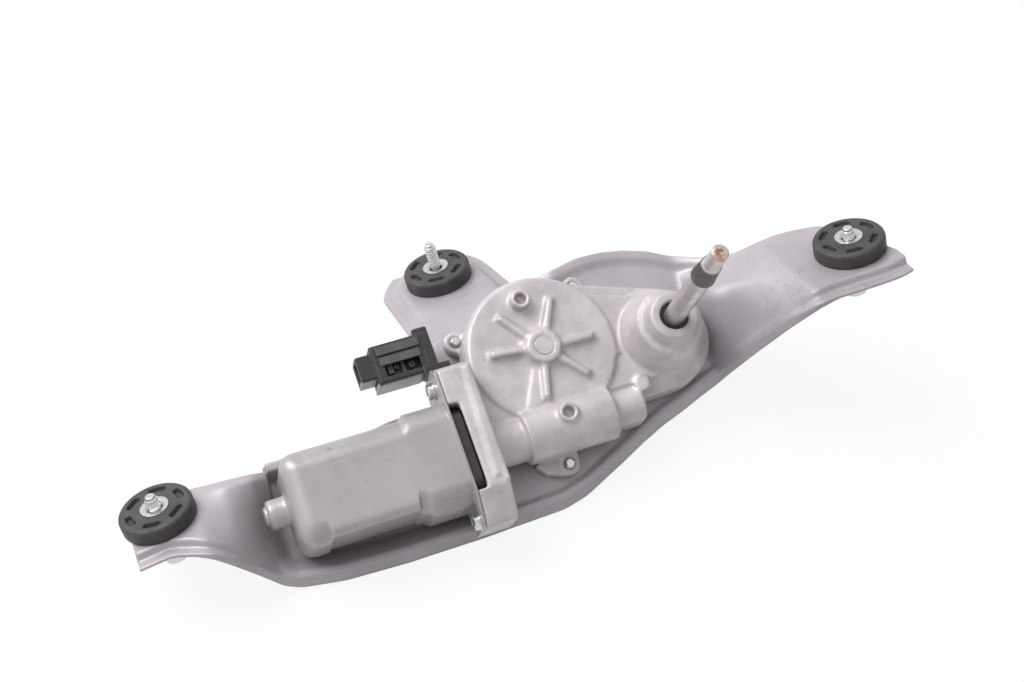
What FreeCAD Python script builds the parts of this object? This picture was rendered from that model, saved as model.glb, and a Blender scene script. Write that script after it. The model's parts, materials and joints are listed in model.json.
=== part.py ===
import FreeCAD
import Part
import Sketcher

import math
import os

# Rear wiper motor: a worm-geared motor on a deep pressed bracket with three rubber mounts.
# The work axes are the gearbox's own: +Z up the output spindle, +X along the motor shaft from
# the can to the gears, origin on the spindle at the tower's face. Every sub-part is drawn in
# these axes and then turned by rest_tilt about X, so that the finished part lies as on a table,
# with +Z up.

SIZES = {
    # How the part lies, and the plane of the three rubber mounts
    "rest_tilt": 20.0,
    "mount_lean": 41.3,
    "mount_skew": 7.8,
    "mount_offset": 1.0,
    # Output spindle and its tower
    "spindle_dia": 10.0,
    "spindle_reach": 77.0,
    "knurl_start": 49.0,
    "knurl_length": 13.0,
    "knurl_dia": 11.6,
    "stud_dia": 8.0,
    "seat_dia": 8.0,
    "collar_dia": 14.0,
    "tower_mouth_dia": 14.2,
    "tower_face_dia": 23.2,
    "tower_neck_dia": 27.0,
    "tower_step_dia": 32.0,
    "tower_step_depth": 9.0,
    "tower_base_dia": 43.6,
    "tower_base_depth": 28.0,
    "bush_dia": 13.0,
    "bush_length": 12.0,
    "lower_bush_length": 11.0,
    "seal_depth": 3.0,
    "seal_height": 2.5,
    "clip_thick": 1.0,
    # Gear case
    "wheel_x": 59.8,
    "wheel_y": 8.9,
    "case_dia": 75.0,
    "case_wall": 3.4,
    "case_top_depth": 24.0,
    "case_roof": 2.7,
    "case_depth": 46.5,
    "case_step": 3.0,
    "web_drop": 2.0,
    "hub_dia": 16.8,
    "hub_depth": 19.0,
    "rib_width": 3.0,
    "rib_reach": 27.0,
    "rib_depth": 21.0,
    "boss_dia": 9.6,
    "boss_bore": 5.6,
    "skirt_dia": 52.2,
    "skirt_wall": 3.0,
    "skirt_depth": 33.0,
    "lug_dia": 11.0,
    "lug_depth": 40.5,
    "cover_thick": 1.2,
    "gasket_thick": 0.6,
    "cover_lap": 1.7,
    # Worm drive
    "gear_module": 1.25,
    "wheel_teeth": 51.0,
    "wheel_face": 9.0,
    "worm_pitch_dia": 11.0,
    "worm_turns": 7.0,
    "tooth_backlash": 0.35,
    "axle_dia": 9.1,
    "clip_room": 3.0,
    "crank_seat": 6.0,
    "ring_track_dia": 36.0,
    "ring_drop": 2.6,
    "park_ring_thick": 0.5,
    "contact_plate_thick": 1.0,
    "shaft_dia": 8.0,
    "shaft_depth": 32.5,
    "worm_tube_dia": 26.8,
    "worm_bore": 15.4,
    "neck_dia": 22.0,
    "tail_dia": 17.0,
    "tube_start": 82.0,
    "tube_end": 36.6,
    "tail_end": 20.7,
    "tail_web_depth": 28.0,
    "tail_web_width": 10.0,
    "tail_boss_dia": 8.0,
    "plug_dia": 10.0,
    "plug_length": 8.0,
    # Crank, connecting rod and spindle lever
    "crank_radius": 14.0,
    "crank_pin_dia": 6.0,
    "lever_radius": 17.5,
    "lever_pin_dia": 6.0,
    "eye_dia": 10.0,
    "rod_thick": 2.0,
    "lever_depth": 38.0,
    "lever_thick": 2.5,
    "layer_gap": 0.5,
    "pin_proud": 0.6,
    "rivet_head_dia": 8.5,
    "rivet_head": 1.0,
    "collar_thick": 1.2,
    # Motor can and what is in it
    "can_width": 45.0,
    "can_height": 39.0,
    "can_corner": 9.0,
    "can_wall": 1.6,
    "can_length": 82.0,
    "can_edge": 8.0,
    "can_end_bore": 28.0,
    "collar_length": 20.0,
    "collar_rise": 2.5,
    "collar_taper": 4.0,
    "can_floor": 3.2,
    "flange_thick": 1.2,
    "cup_dia": 14.0,
    "cup_length": 9.5,
    "cup_tip": 1.4,
    "cup_tip_dia": 9.0,
    "bearing_dia": 11.6,
    "bearing_length": 8.0,
    "core_dia": 30.0,
    "core_length": 36.0,
    "core_slots": 10.0,
    "air_gap": 0.6,
    "magnet_length": 42.0,
    "magnet_gap": 14.0,
    "slot_copper": 2.6,
    "end_turn": 5.0,
    "brush_plate_thick": 5.0,
    "brush_width": 4.0,
    "brush_length": 5.0,
    "brush_spring": 3.0,
    "commutator_dia": 19.0,
    "commutator_length": 10.0,
    # Casting flange between case and can
    "head_start": 115.2,
    "head_length": 16.2,
    "head_wall": 3.0,
    "slot_width": 5.4,
    "slot_length": 42.0,
    "ear_span": 65.4,
    "ear_rise": 6.5,
    "rail_width": 2.4,
    "rail_rise": 1.5,
    # Connector
    "terminal_first": 20.4,
    "terminal_pitch": 2.3,
    "terminal_width": 0.9,
    "terminal_height": 1.6,
    # Bracket
    "sheet": 1.6,
    "seat_gap": 0.05,
    "trough_drop": 6.1,
    "trough_run": 6.0,
    "ledge": 4.5,
    "ledge_loss": 1.6,
    "wall_run": 3.5,
    "run_loss": 0.9,
    "curb": 2.0,
    "tab_step": 4.5,
    "lip_drop": 2.0,
    "lip_deepening": 2.8,
    "lip_spread": 3.6,
    "back_lip": 3.0,
    "back_ledge": 2.0,
    "bend": 1.0,
    # Rubber mounts, sleeves and bolts
    "grommet_dia": 34.6,
    "grommet_rise": 7.7,
    "grommet_foot_dia": 24.0,
    "grommet_drop": 6.3,
    "grommet_neck_dia": 22.0,
    "grommet_edge": 1.4,
    "slot_depth": 3.0,
    "sleeve_dia": 10.6,
    "sleeve_ring_dia": 13.3,
    "sleeve_ring_thick": 1.2,
    "sleeve_proud": 0.4,
    "bolt_dia": 6.0,
    "bolt_play": 0.3,
    "bolt_length": 30.0,
    "bolt_thread": 11.0,
    "bolt_shank_dia": 5.4,
    "bolt_tip": 2.0,
    "bolt_flange_dia": 13.2,
    "bolt_flange_thick": 1.6,
    "bolt_hex": 10.0,
    "bolt_head": 5.4,
    # Screws
    "screw_dia": 5.0,
    "screw_head_dia": 8.5,
    "screw_head": 3.3,
    "screw_grip": 10.0,
    "tip_proud": 1.8,
    # Fits
    "running_fit": 0.04,
    "slip_fit": 0.3,
}

doc = FreeCAD.newDocument("WiperMotor")
sheet = doc.addObject("Spreadsheet::Sheet", "Sizes")
for row, (alias, value) in enumerate(SIZES.items(), start=1):
    sheet.set(f"A{row}", alias)
    sheet.set(f"B{row}", str(value))
    sheet.setAlias(f"B{row}", alias)
doc.recompute()


class Size:
    """A size of the part: its value now, and the sheet expression that it comes from."""

    def __init__(self, value, text):
        self.value = float(value)
        self.text = text

    def __add__(self, other):
        return Size(self.value + num(other), f"({self.text} + {text_of(other)})")

    def __sub__(self, other):
        return Size(self.value - num(other), f"({self.text} - {text_of(other)})")

    def __mul__(self, factor):
        return Size(self.value * num(factor), f"({self.text} * {text_of(factor)})")

    def __truediv__(self, factor):
        return Size(self.value / num(factor), f"({self.text} / {text_of(factor)})")

    def __radd__(self, other):
        return self + other

    def __rmul__(self, other):
        return self * other

    def __rsub__(self, other):
        return Size(num(other) - self.value, f"({text_of(other)} - {self.text})")

    def __neg__(self):
        return Size(-self.value, f"(0 - {self.text})")


def num(x):
    """The plain number of a size or a number."""
    return x.value if isinstance(x, Size) else float(x)


def text_of(x):
    """The expression text of a size or a number."""
    return x.text if isinstance(x, Size) else f"{float(x):.6f}"


def cell(alias):
    """The sheet's value of that alias, as a Size."""
    return Size(float(getattr(sheet, alias)), f"Sizes.{alias}")


def vec(x, y, z):
    """A vector from sizes or numbers."""
    return FreeCAD.Vector(num(x), num(y), num(z))


def bind(item, prop, x):
    """Give a property its size, as an expression where it comes from the sheet."""
    if isinstance(x, Size):
        item.setExpression(prop, x.text)
    else:
        setattr(item, prop, float(x))


X_AXIS = FreeCAD.Vector(1, 0, 0)
Y_AXIS = FreeCAD.Vector(0, 1, 0)
Z_AXIS = FreeCAD.Vector(0, 0, 1)
ALONG_X = FreeCAD.Rotation(Z_AXIS, X_AXIS)
REST = FreeCAD.Placement(FreeCAD.Vector(), FreeCAD.Rotation(X_AXIS, num(cell("rest_tilt"))))

finished = []


def finish(item, label, local=None):
    """Name a finished sub-part and turn it with the whole part into the lying position."""
    item.Label = label
    item.Placement = REST.multiply(local) if local else REST
    finished.append(item)
    return item


def spot(item, at, turn=None):
    """Place a building block, with the coordinates bound to the sheet."""
    item.Placement = FreeCAD.Placement(vec(*at), turn or FreeCAD.Rotation())
    for name, x in zip("xyz", at):
        if isinstance(x, Size):
            item.setExpression(f"Placement.Base.{name}", x.text)
    return item


def cylinder(name, dia, height, at, turn=None):
    """A round bar of that diameter from a point along Z, or along the turned Z."""
    item = doc.addObject("Part::Cylinder", name)
    bind(item, "Radius", dia / 2)
    bind(item, "Height", height)
    return spot(item, at, turn)


def cone(name, low_dia, high_dia, height, at, turn=None):
    """A taper between two diameters."""
    item = doc.addObject("Part::Cone", name)
    bind(item, "Radius1", low_dia / 2)
    bind(item, "Radius2", high_dia / 2)
    bind(item, "Height", height)
    return spot(item, at, turn)


def box(name, length, width, height, at, turn=None):
    """A block with its low corner at a point."""
    item = doc.addObject("Part::Box", name)
    bind(item, "Length", length)
    bind(item, "Width", width)
    bind(item, "Height", height)
    return spot(item, at, turn)


def fuse(name, items):
    """Several blocks made one."""
    item = doc.addObject("Part::MultiFuse", name)
    item.Shapes = items
    item.Refine = True
    return item


def cut(name, base, tool):
    """A block with another taken out of it."""
    item = doc.addObject("Part::Cut", name)
    item.Base = base
    item.Tool = tool
    item.Refine = True
    return item


def set_of(name, items):
    """Separate solids kept together as one node."""
    item = doc.addObject("Part::Compound", name)
    item.Links = items
    return item


def body_plane(body, role):
    """One of the origin planes of a body."""
    return next(item for item in body.Origin.OriginFeatures if item.Role == role)


def sketch_on(body, name, role, offset=0.0):
    """An empty sketch on an origin plane of its body, moved along the plane's normal."""
    sketch = body.newObject("Sketcher::SketchObject", name)
    sketch.AttachmentSupport = [(body_plane(body, role), "")]
    sketch.MapMode = "FlatFace"
    sketch.AttachmentOffset = FreeCAD.Placement(vec(0, 0, offset), FreeCAD.Rotation())
    if isinstance(offset, Size):
        sketch.setExpression("AttachmentOffset.Base.z", offset.text)
    return sketch


CENTRE = 3
START = 1


def hold(sketch, kind, index, point, x):
    """Hold a point of a sketch's edge at a distance from the origin, or on the axis itself."""
    if abs(num(x)) < 1e-9:
        axis = -2 if kind == "DistanceX" else -1
        sketch.addConstraint(Sketcher.Constraint("PointOnObject", index, point, axis))
        return
    held = sketch.addConstraint(Sketcher.Constraint(kind, -1, 1, index, point, num(x)))
    if isinstance(x, Size):
        sketch.setExpression(f"Constraints[{held}]", x.text)


def hold_radius(sketch, index, dia):
    """Hold the radius of a circle or an arc."""
    held = sketch.addConstraint(Sketcher.Constraint("Radius", index, num(dia) / 2))
    if isinstance(dia, Size):
        sketch.setExpression(f"Constraints[{held}]", (dia / 2).text)


def polygon(sketch, corners):
    """A closed outline of straight lines, each corner held by its two distances."""
    count = len(corners)
    points = [vec(x, y, 0) for x, y in corners]
    for i in range(count):
        sketch.addGeometry(Part.LineSegment(points[i], points[(i + 1) % count]), False)
    for i in range(count):
        sketch.addConstraint(Sketcher.Constraint("Coincident", i, 2, (i + 1) % count, 1))
    for i, (x, y) in enumerate(corners):
        hold(sketch, "DistanceX", i, START, x)
        hold(sketch, "DistanceY", i, START, y)


def circle(sketch, x, y, dia):
    """A circle held by its centre and its radius."""
    index = sketch.addGeometry(Part.Circle(vec(x, y, 0), Z_AXIS, num(dia) / 2), False)
    hold(sketch, "DistanceX", index, CENTRE, x)
    hold(sketch, "DistanceY", index, CENTRE, y)
    hold_radius(sketch, index, dia)


def turned(name, profile):
    """A body turned about Z from a closed profile of (radius, height) corners."""
    body = doc.addObject("PartDesign::Body", name)
    sketch = sketch_on(body, f"{name}_profile", "XZ_Plane")
    polygon(sketch, profile)
    feature = body.newObject("PartDesign::Revolution", f"{name}_turned")
    feature.Profile = sketch
    feature.ReferenceAxis = (sketch, ["V_Axis"])
    feature.Angle = 360.0
    body.Tip = feature
    return body


def pin(name, dia, low, high):
    """A plain turned pin between two heights."""
    return turned(name, [(0, low), (dia / 2, low), (dia / 2, high), (0, high)])


def ring(name, outer, inner, low, high):
    """A turned ring between two diameters and two heights."""
    inner_r = inner / 2
    outer_r = outer / 2
    return turned(name, [(inner_r, low), (outer_r, low), (outer_r, high), (inner_r, high)])


def pad(body, name, sketch, length, reverse=False):
    """A pad of a sketch."""
    feature = body.newObject("PartDesign::Pad", name)
    feature.Profile = sketch
    bind(feature, "Length", length)
    feature.Reversed = reverse
    body.Tip = feature
    return feature


def pocket(body, name, sketch, length, reverse=False):
    """A pocket of a sketch; the depth runs against the plane's normal unless reversed."""
    feature = body.newObject("PartDesign::Pocket", name)
    feature.Profile = sketch
    bind(feature, "Length", length)
    feature.Reversed = reverse
    body.Tip = feature
    return feature


def belt_corners(first, first_r, second, second_r):
    """The four points where two straight tangents touch two circles, and the angles there."""
    dx = second[0] - first[0]
    dy = second[1] - first[1]
    heading = math.atan2(dy, dx)
    spread = math.acos((first_r - second_r) / math.hypot(dx, dy))
    corners = []
    for centre, radius in ((first, first_r), (second, second_r)):
        for side in (1, -1):
            angle = heading + side * spread
            point = vec(centre[0] + radius * math.cos(angle), centre[1] + radius * math.sin(angle), 0)
            corners.append((point, angle))
    return corners


def belt(sketch, first, first_dia, second, second_dia):
    """The outline of a belt round two circles, held by centres, radii and tangency."""
    c1 = (num(first[0]), num(first[1]))
    c2 = (num(second[0]), num(second[1]))
    r1 = num(first_dia) / 2
    r2 = num(second_dia) / 2
    (a_up, ang_up), (a_low, ang_low), (b_up, _), (b_low, _) = belt_corners(c1, r1, c2, r2)
    big = Part.ArcOfCircle(Part.Circle(vec(*c1, 0), Z_AXIS, r1), ang_up, ang_low + 2 * math.pi)
    small = Part.ArcOfCircle(Part.Circle(vec(*c2, 0), Z_AXIS, r2), ang_low, ang_up)
    arc1 = sketch.addGeometry(big, False)
    low = sketch.addGeometry(Part.LineSegment(a_low, b_low), False)
    arc2 = sketch.addGeometry(small, False)
    high = sketch.addGeometry(Part.LineSegment(b_up, a_up), False)
    for one, other in ((arc1, low), (low, arc2), (arc2, high), (high, arc1)):
        sketch.addConstraint(Sketcher.Constraint("Tangent", one, 2, other, 1))
    for arc, centre, dia in ((arc1, first, first_dia), (arc2, second, second_dia)):
        hold(sketch, "DistanceX", arc, CENTRE, centre[0])
        hold(sketch, "DistanceY", arc, CENTRE, centre[1])
        hold_radius(sketch, arc, dia)


def belt_body(name, first_dia, second_dia, low, high):
    """A block with a belt outline round the wheel and the spindle, between two heights."""
    body = doc.addObject("PartDesign::Body", name)
    sketch = sketch_on(body, f"{name}_outline", "XY_Plane", low)
    belt(sketch, WHEEL, first_dia, SPINDLE, second_dia)
    pad(body, f"{name}_pad", sketch, high - low)
    return body


def screw(name, length, at, turn=None):
    """A pan-head screw: shank up along its axis from the head's underside."""
    dia = cell("screw_dia")
    head_dia = cell("screw_head_dia")
    head = cell("screw_head")
    body = turned(name, [
        (0, length),
        (dia / 2 - 0.5, length),
        (dia / 2, length - 0.5),
        (dia / 2, 0),
        (head_dia / 2, 0),
        (head_dia / 2, -head * 0.55),
        (head_dia / 2 - head * 0.45, -head),
        (0, -head),
    ])
    body.Placement = FreeCAD.Placement(vec(*at), turn or FreeCAD.Rotation())
    return body


# Shared places

SPINDLE = (0.0, 0.0)
WHEEL = (-cell("wheel_x"), cell("wheel_y"))
pitch_dia = cell("gear_module") * cell("wheel_teeth")
centre_distance = pitch_dia / 2 + cell("worm_pitch_dia") / 2
shaft_y = cell("wheel_y") - centre_distance
shaft_z = -cell("shaft_depth")
SHAFT = (shaft_y, shaft_z)
wheel_low = shaft_z - cell("wheel_face") / 2
wheel_high = shaft_z + cell("wheel_face") / 2
case_low = -cell("case_depth")
case_top = -cell("case_top_depth")
cavity_dia = cell("case_dia") - cell("case_wall") * 2
skirt_cavity_dia = cell("skirt_dia") - cell("skirt_wall") * 2
roof_low = case_top - cell("case_roof")
pan_high = case_low - cell("seat_gap")
cover_low = case_low
cover_high = cover_low + cell("cover_thick")
gasket_high = cover_high + cell("gasket_thick")
head_low_x = -cell("head_start")
head_high_x = head_low_x + cell("head_length")
bush_bore = cell("spindle_dia") + cell("running_fit") * 2
lever_high = -cell("lever_depth")
lever_low = lever_high - cell("lever_thick")
rod_high = lever_low - cell("layer_gap")
rod_low = rod_high - cell("rod_thick")

LUGS = [(-62.4, -45.0), (-95.4, 28.7), (-28.9, 39.5)]
BLIND_BOSSES = [(-62.8, 34.2, 18.0), (-60.4, -26.0, 16.6)]
LUG_PLATE = [(-78.5, -41.5), (-74.5, -46.5), (-66.0, -50.2), (-58.0, -40.5), (-70.0, -34.0)]
LUG_PROUD = 1.2
TAIL_BOSS = (-18.6, -20.8)

# Raised block beside the tower: its place, its turn about Z and its sizes along X, Y and Z
BLOCK = (-27.6, -0.2)
BLOCK_TURN = 18.0
BLOCK_SIZE = (5.0, 9.4, 1.5)

# Raised pad on the case's roof: its direction from the wheel's axis, start, reach, width and rise
PAD_ANGLE = -118.0
PAD_SIZE = (7.0, 24.0, 6.0, 0.8)

RIB_ANGLES = [-3.0, 62.0, 128.0, 173.0, -105.0, -48.0]


def linkage_points():
    """Rest positions of the crank pin and of the lever's pin."""
    heading = math.atan2(-num(WHEEL[1]), -num(WHEEL[0]))
    square = heading + math.pi / 2
    crank_angle = square - math.radians(8.0)
    reach = num(cell("crank_radius"))
    crank = (num(WHEEL[0]) + reach * math.cos(crank_angle), num(WHEEL[1]) + reach * math.sin(crank_angle))
    lever_reach = num(cell("lever_radius"))
    lever = (lever_reach * math.cos(square), lever_reach * math.sin(square))
    return crank, lever


CRANK, LEVER = linkage_points()


# Bracket: the pan follows the gearbox, the three tabs lie in the plane of the mounts

MOUNT_TURN = FreeCAD.Rotation(X_AXIS, -num(cell("mount_lean")))
MOUNT_TURN = MOUNT_TURN.multiply(FreeCAD.Rotation(Y_AXIS, -num(cell("mount_skew"))))
MOUNT_NORMAL = MOUNT_TURN.multVec(Z_AXIS)


def mount_z(x, y):
    """Height of the mounts' plane above a point of the work plane."""
    along = MOUNT_NORMAL.x * x + MOUNT_NORMAL.y * y
    return (-num(cell("mount_offset")) - along) / MOUNT_NORMAL.z


TAB_PLACES = {
    "left": (-252.4, -14.8),
    "middle": (-81.5, 76.8),
    "right": (90.6, 2.8),
}
BOLT_SLIPS = {"left": 7.5, "middle": 0.0, "right": 8.8}


def tab_point(side):
    """Centre of a tab's upper face."""
    x, y = TAB_PLACES[side]
    return FreeCAD.Vector(x, y, mount_z(x, y))


def mount_place(side):
    """Placement of what sits in a tab: its Z runs along the mount's own axis."""
    return FreeCAD.Placement(tab_point(side), MOUNT_TURN)


PAN_Z = num(pan_high)

# Stations along X. Each holds x; the lower edge's y, how far the floor there has gone from the pan
# to the mounts' plane, the trough's share, the rim's height over the floor and the flange's share;
# the knee's y and its floor's share; the upper edge's y, floor's share, trough's share and rim.
LEFT_END = -267.0
RIGHT_END = 107.0
curb = num(cell("curb"))
step = -num(cell("tab_step"))
STATIONS = [
    (LEFT_END, (-36.8, 1.0, 0.0, step, 0.0), (-20.0, 1.0), (-0.5, 1.0, 0.0, 0.0)),
    (-252.0, (-36.4, 1.0, 0.0, step, 0.0), (-20.0, 1.0), (0.5, 1.0, 0.0, 0.0)),
    (-243.0, (-37.8, 1.0, 0.0, step, 0.1), (-20.0, 1.0), (-2.5, 1.0, 0.0, 0.0)),
    (-236.0, (-40.5, 0.94, 0.0, -3.6, 0.3), (-22.0, 1.0), (-3.4, 1.0, 0.0, 0.0)),
    (-222.0, (-47.0, 0.5, 0.0, 0.0, 0.8), (-22.0, 0.72), (-5.0, 1.0, 0.0, 0.0)),
    (-208.0, (-54.3, 0.1, 0.5, curb, 1.0), (-24.0, 0.2), (-5.8, 0.75, 0.1, 0.0)),
    (-201.0, (-56.8, 0.0, 1.0, curb, 1.0), (-26.0, 0.02), (-5.7, 0.35, 0.2, 0.0)),
    (-200.0, (-57.2, 0.0, 1.0, curb, 1.0), (-26.0, 0.0), (-1.4, 0.0, 1.0, curb)),
    (-180.0, (-60.3, 0.0, 1.0, curb, 1.0), (-27.0, 0.0), (-1.0, 0.0, 1.0, curb)),
    (-150.0, (-61.5, 0.0, 1.0, curb, 1.0), (-27.0, 0.0), (-0.8, 0.0, 1.0, curb)),
    (-137.0, (-61.4, 0.0, 1.0, curb, 1.0), (-27.0, 0.0), (1.3, 0.0, 1.0, curb)),
    (-115.2, (-61.3, 0.0, 1.0, curb, 1.0), (-25.0, 0.0), (1.3, 0.0, 1.0, curb)),
    (-112.7, (-61.3, 0.0, 1.0, curb, 1.0), (-15.0, 0.0), (1.6, 0.0, 0.0, 0.0)),
    (-108.0, (-61.2, 0.0, 1.0, curb, 1.0), (-12.0, 0.0), (14.0, 0.0, 0.0, 0.0)),
    (-98.0, (-60.8, 0.0, 1.0, curb, 1.0), (-10.0, 0.0), (14.0, 0.0, 0.0, 0.0)),
    (-94.5, (-60.7, 0.0, 0.0, curb, 1.0), (-10.0, 0.0), (14.0, 0.0, 0.0, 0.0)),
    (-70.0, (-60.0, 0.0, 0.0, curb, 1.0), (0.0, 0.0), (14.0, 0.0, 0.0, 0.0)),
    (-58.0, (-57.2, 0.0, 0.0, curb, 1.0), (0.0, 0.0), (14.0, 0.0, 0.0, 0.0)),
    (-54.0, (-55.6, 0.0, 0.0, curb, 1.0), (40.0, 0.0), (50.0, 1.0, 0.0, -2.0)),
    (-46.0, (-52.0, 0.0, 0.0, curb, 1.0), (42.0, 0.0), (51.3, 0.4, 0.0, 0.5)),
    (-36.0, (-47.6, 0.0, 0.0, curb, 1.0), (30.0, 0.0), (52.0, 0.0, 0.0, curb)),
    (-21.0, (-40.6, 0.0, 0.0, curb, 1.0), (20.0, 0.0), (54.9, 0.0, 0.0, curb)),
    (-8.0, (-35.2, 0.0, 0.0, curb, 1.0), (15.0, 0.0), (54.5, 0.0, 0.0, curb)),
    (3.6, (-31.5, 0.0, 0.0, curb, 1.0), (12.0, 0.0), (52.4, 0.0, 0.0, curb)),
    (15.8, (-27.0, 0.0, 0.0, curb, 1.0), (10.0, 0.0), (48.5, 0.0, 0.0, curb)),
    (27.2, (-23.2, 0.0, 0.0, curb, 1.0), (10.0, 0.0), (42.3, 0.0, 0.0, curb)),
    (30.5, (-22.2, 0.1, 0.0, curb, 1.0), (11.0, 0.5), (40.6, 0.12, 0.0, curb)),
    (40.0, (-20.6, 0.42, 0.0, curb, 1.0), (11.0, 0.68), (35.0, 0.35, 0.0, 1.0)),
    (50.0, (-20.4, 0.78, 0.0, 0.0, 0.8), (8.0, 0.86), (28.5, 0.75, 0.0, 0.0)),
    (60.0, (-21.4, 1.0, 0.0, -3.6, 0.3), (6.0, 1.0), (27.6, 1.0, 0.0, 0.0)),
    (70.0, (-20.8, 1.0, 0.0, step, 0.0), (5.0, 1.0), (28.6, 1.0, 0.0, 0.0)),
    (80.0, (-21.2, 1.0, 0.0, step, 0.0), (4.0, 1.0), (27.4, 1.0, 0.0, 0.0)),
    (91.0, (-21.5, 1.0, 0.0, step, 0.0), (2.0, 1.0), (24.6, 1.0, 0.0, 0.0)),
    (99.0, (-21.4, 1.0, 0.0, step, 0.0), (0.0, 1.0), (16.5, 1.0, 0.0, 0.0)),
    (104.0, (-20.8, 1.0, 0.0, step, 0.0), (-6.0, 1.0), (2.0, 1.0, 0.0, 0.0)),
    (RIGHT_END, (-20.0, 1.0, 0.0, step, 0.0), (-11.0, 1.0), (-5.5, 1.0, 0.0, 0.0)),
]


def rounded(points, setback):
    """A bent line with each inner corner cut back into a short flat, as a press bend."""
    line = [points[0]]
    for before, corner, after in zip(points, points[1:], points[2:]):
        for other in (before, after):
            away = other.sub(corner)
            reach = min(setback, away.Length * 0.42)
            line.append(corner.add(away.normalize().multiply(reach)))
    line.append(points[-1])
    return line


def bent_strip(points, across):
    """The closed outline of a bent strip: the line and its copy one sheet below it, both rounded."""
    below = []
    last = len(points) - 1
    thick = num(cell("sheet"))
    for i, point in enumerate(points):
        normals = []
        for j in (i - 1, i):
            if 0 <= j < last:
                run = points[j + 1].sub(points[j]).normalize()
                normals.append(across.cross(run).normalize())
        mean = normals[0] if len(normals) == 1 else normals[0].add(normals[1]).normalize()
        below.append(point.add(mean.multiply(thick / mean.dot(normals[0]))))
    setback = num(cell("bend"))
    outline = rounded(points, setback) + rounded(below, setback)[::-1]
    return Part.makePolygon(outline + [outline[0]])


def floor_z(x, y, share, trough):
    """Height of the bracket's floor: from the pan or its trough to the mounts' plane."""
    low = PAN_Z - trough * num(cell("trough_drop"))
    return low + share * (mount_z(x, y) - low)


def bracket_section(station):
    """Cross-section of the bracket at one station along X, as a closed wire."""
    x, lower, knee, upper = station
    y_low, share_low, trough, rim_low, flange = lower
    y_knee, share_knee = knee
    y_up, share_up, trough_up, rim_up = upper
    ledge = num(cell("ledge")) - flange * num(cell("ledge_loss"))
    run = num(cell("wall_run")) - flange * num(cell("run_loss"))
    low_in = y_low + ledge + run + trough * num(cell("trough_run"))
    back = num(cell("back_ledge")) * (1.0 + max(rim_up, 0.0) / curb)
    up_in = y_up - back * 2
    crest_low = floor_z(x, y_low + ledge, share_low, 0.0) + rim_low
    crest_up = floor_z(x, y_up - back, share_up, 0.0) + rim_up
    outer_low = floor_z(x, y_low, share_low, 0.0) + rim_low
    outer_up = floor_z(x, y_up, share_up, 0.0) + rim_up
    lip = num(cell("lip_drop")) + flange * num(cell("lip_deepening"))
    spread = 0.4 + flange * num(cell("lip_spread"))
    back_lip = num(cell("back_lip"))
    line = [
        vec(x, y_low - spread, outer_low - lip),
        vec(x, y_low, outer_low),
        vec(x, y_low + ledge, crest_low),
        vec(x, low_in, floor_z(x, low_in, share_low, trough)),
        vec(x, y_knee, floor_z(x, y_knee, share_knee, trough)),
        vec(x, up_in, floor_z(x, up_in, share_up, trough_up)),
        vec(x, y_up - back, crest_up),
        vec(x, y_up, outer_up),
        vec(x, y_up + 0.4, outer_up - back_lip),
    ]
    return bent_strip(line, -X_AXIS)


# Stations of the middle arm along Y: y, left and right edge x, and how far the left and the right
# edge have their full step and lip.
ARM_START = 8.0
ARM_BEND = 33.6
ARM_STATIONS = [
    (ARM_START - 0.5, -108.0, -53.4, 0.3, 0.0),
    (ARM_BEND, -108.3, -53.4, 0.5, 0.0),
    (42.0, -108.8, -53.0, 1.0, 0.0),
    (50.0, -109.2, -51.6, 1.0, 0.5),
    (58.0, -109.4, -51.1, 1.0, 1.0),
    (77.0, -110.2, -54.3, 1.0, 1.0),
    (84.0, -106.5, -56.0, 1.0, 1.0),
    (89.5, -101.0, -59.5, 1.0, 1.0),
]


def arm_section(station):
    """Cross-section of the middle arm at one station along Y, as a closed wire."""
    y, x_low, x_up, left, right = station
    ledge = num(cell("ledge"))
    run = num(cell("wall_run"))
    lip = num(cell("lip_drop")) + 0.5

    def height(x):
        return PAN_Z if y <= ARM_BEND else min(PAN_Z, mount_z(x, y))

    line = [
        vec(x_low - 0.8, y, height(x_low) + left * (step - lip)),
        vec(x_low, y, height(x_low) + left * step),
        vec(x_low + ledge, y, height(x_low + ledge) + left * step),
        vec(x_low + ledge + run, y, height(x_low + ledge + run)),
        vec(x_up - ledge - run, y, height(x_up - ledge - run)),
        vec(x_up - ledge, y, height(x_up - ledge) + right * step),
        vec(x_up, y, height(x_up) + right * step),
        vec(x_up + 0.8, y, height(x_up) + right * (step - lip)),
    ]
    return bent_strip(line, Y_AXIS)


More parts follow.
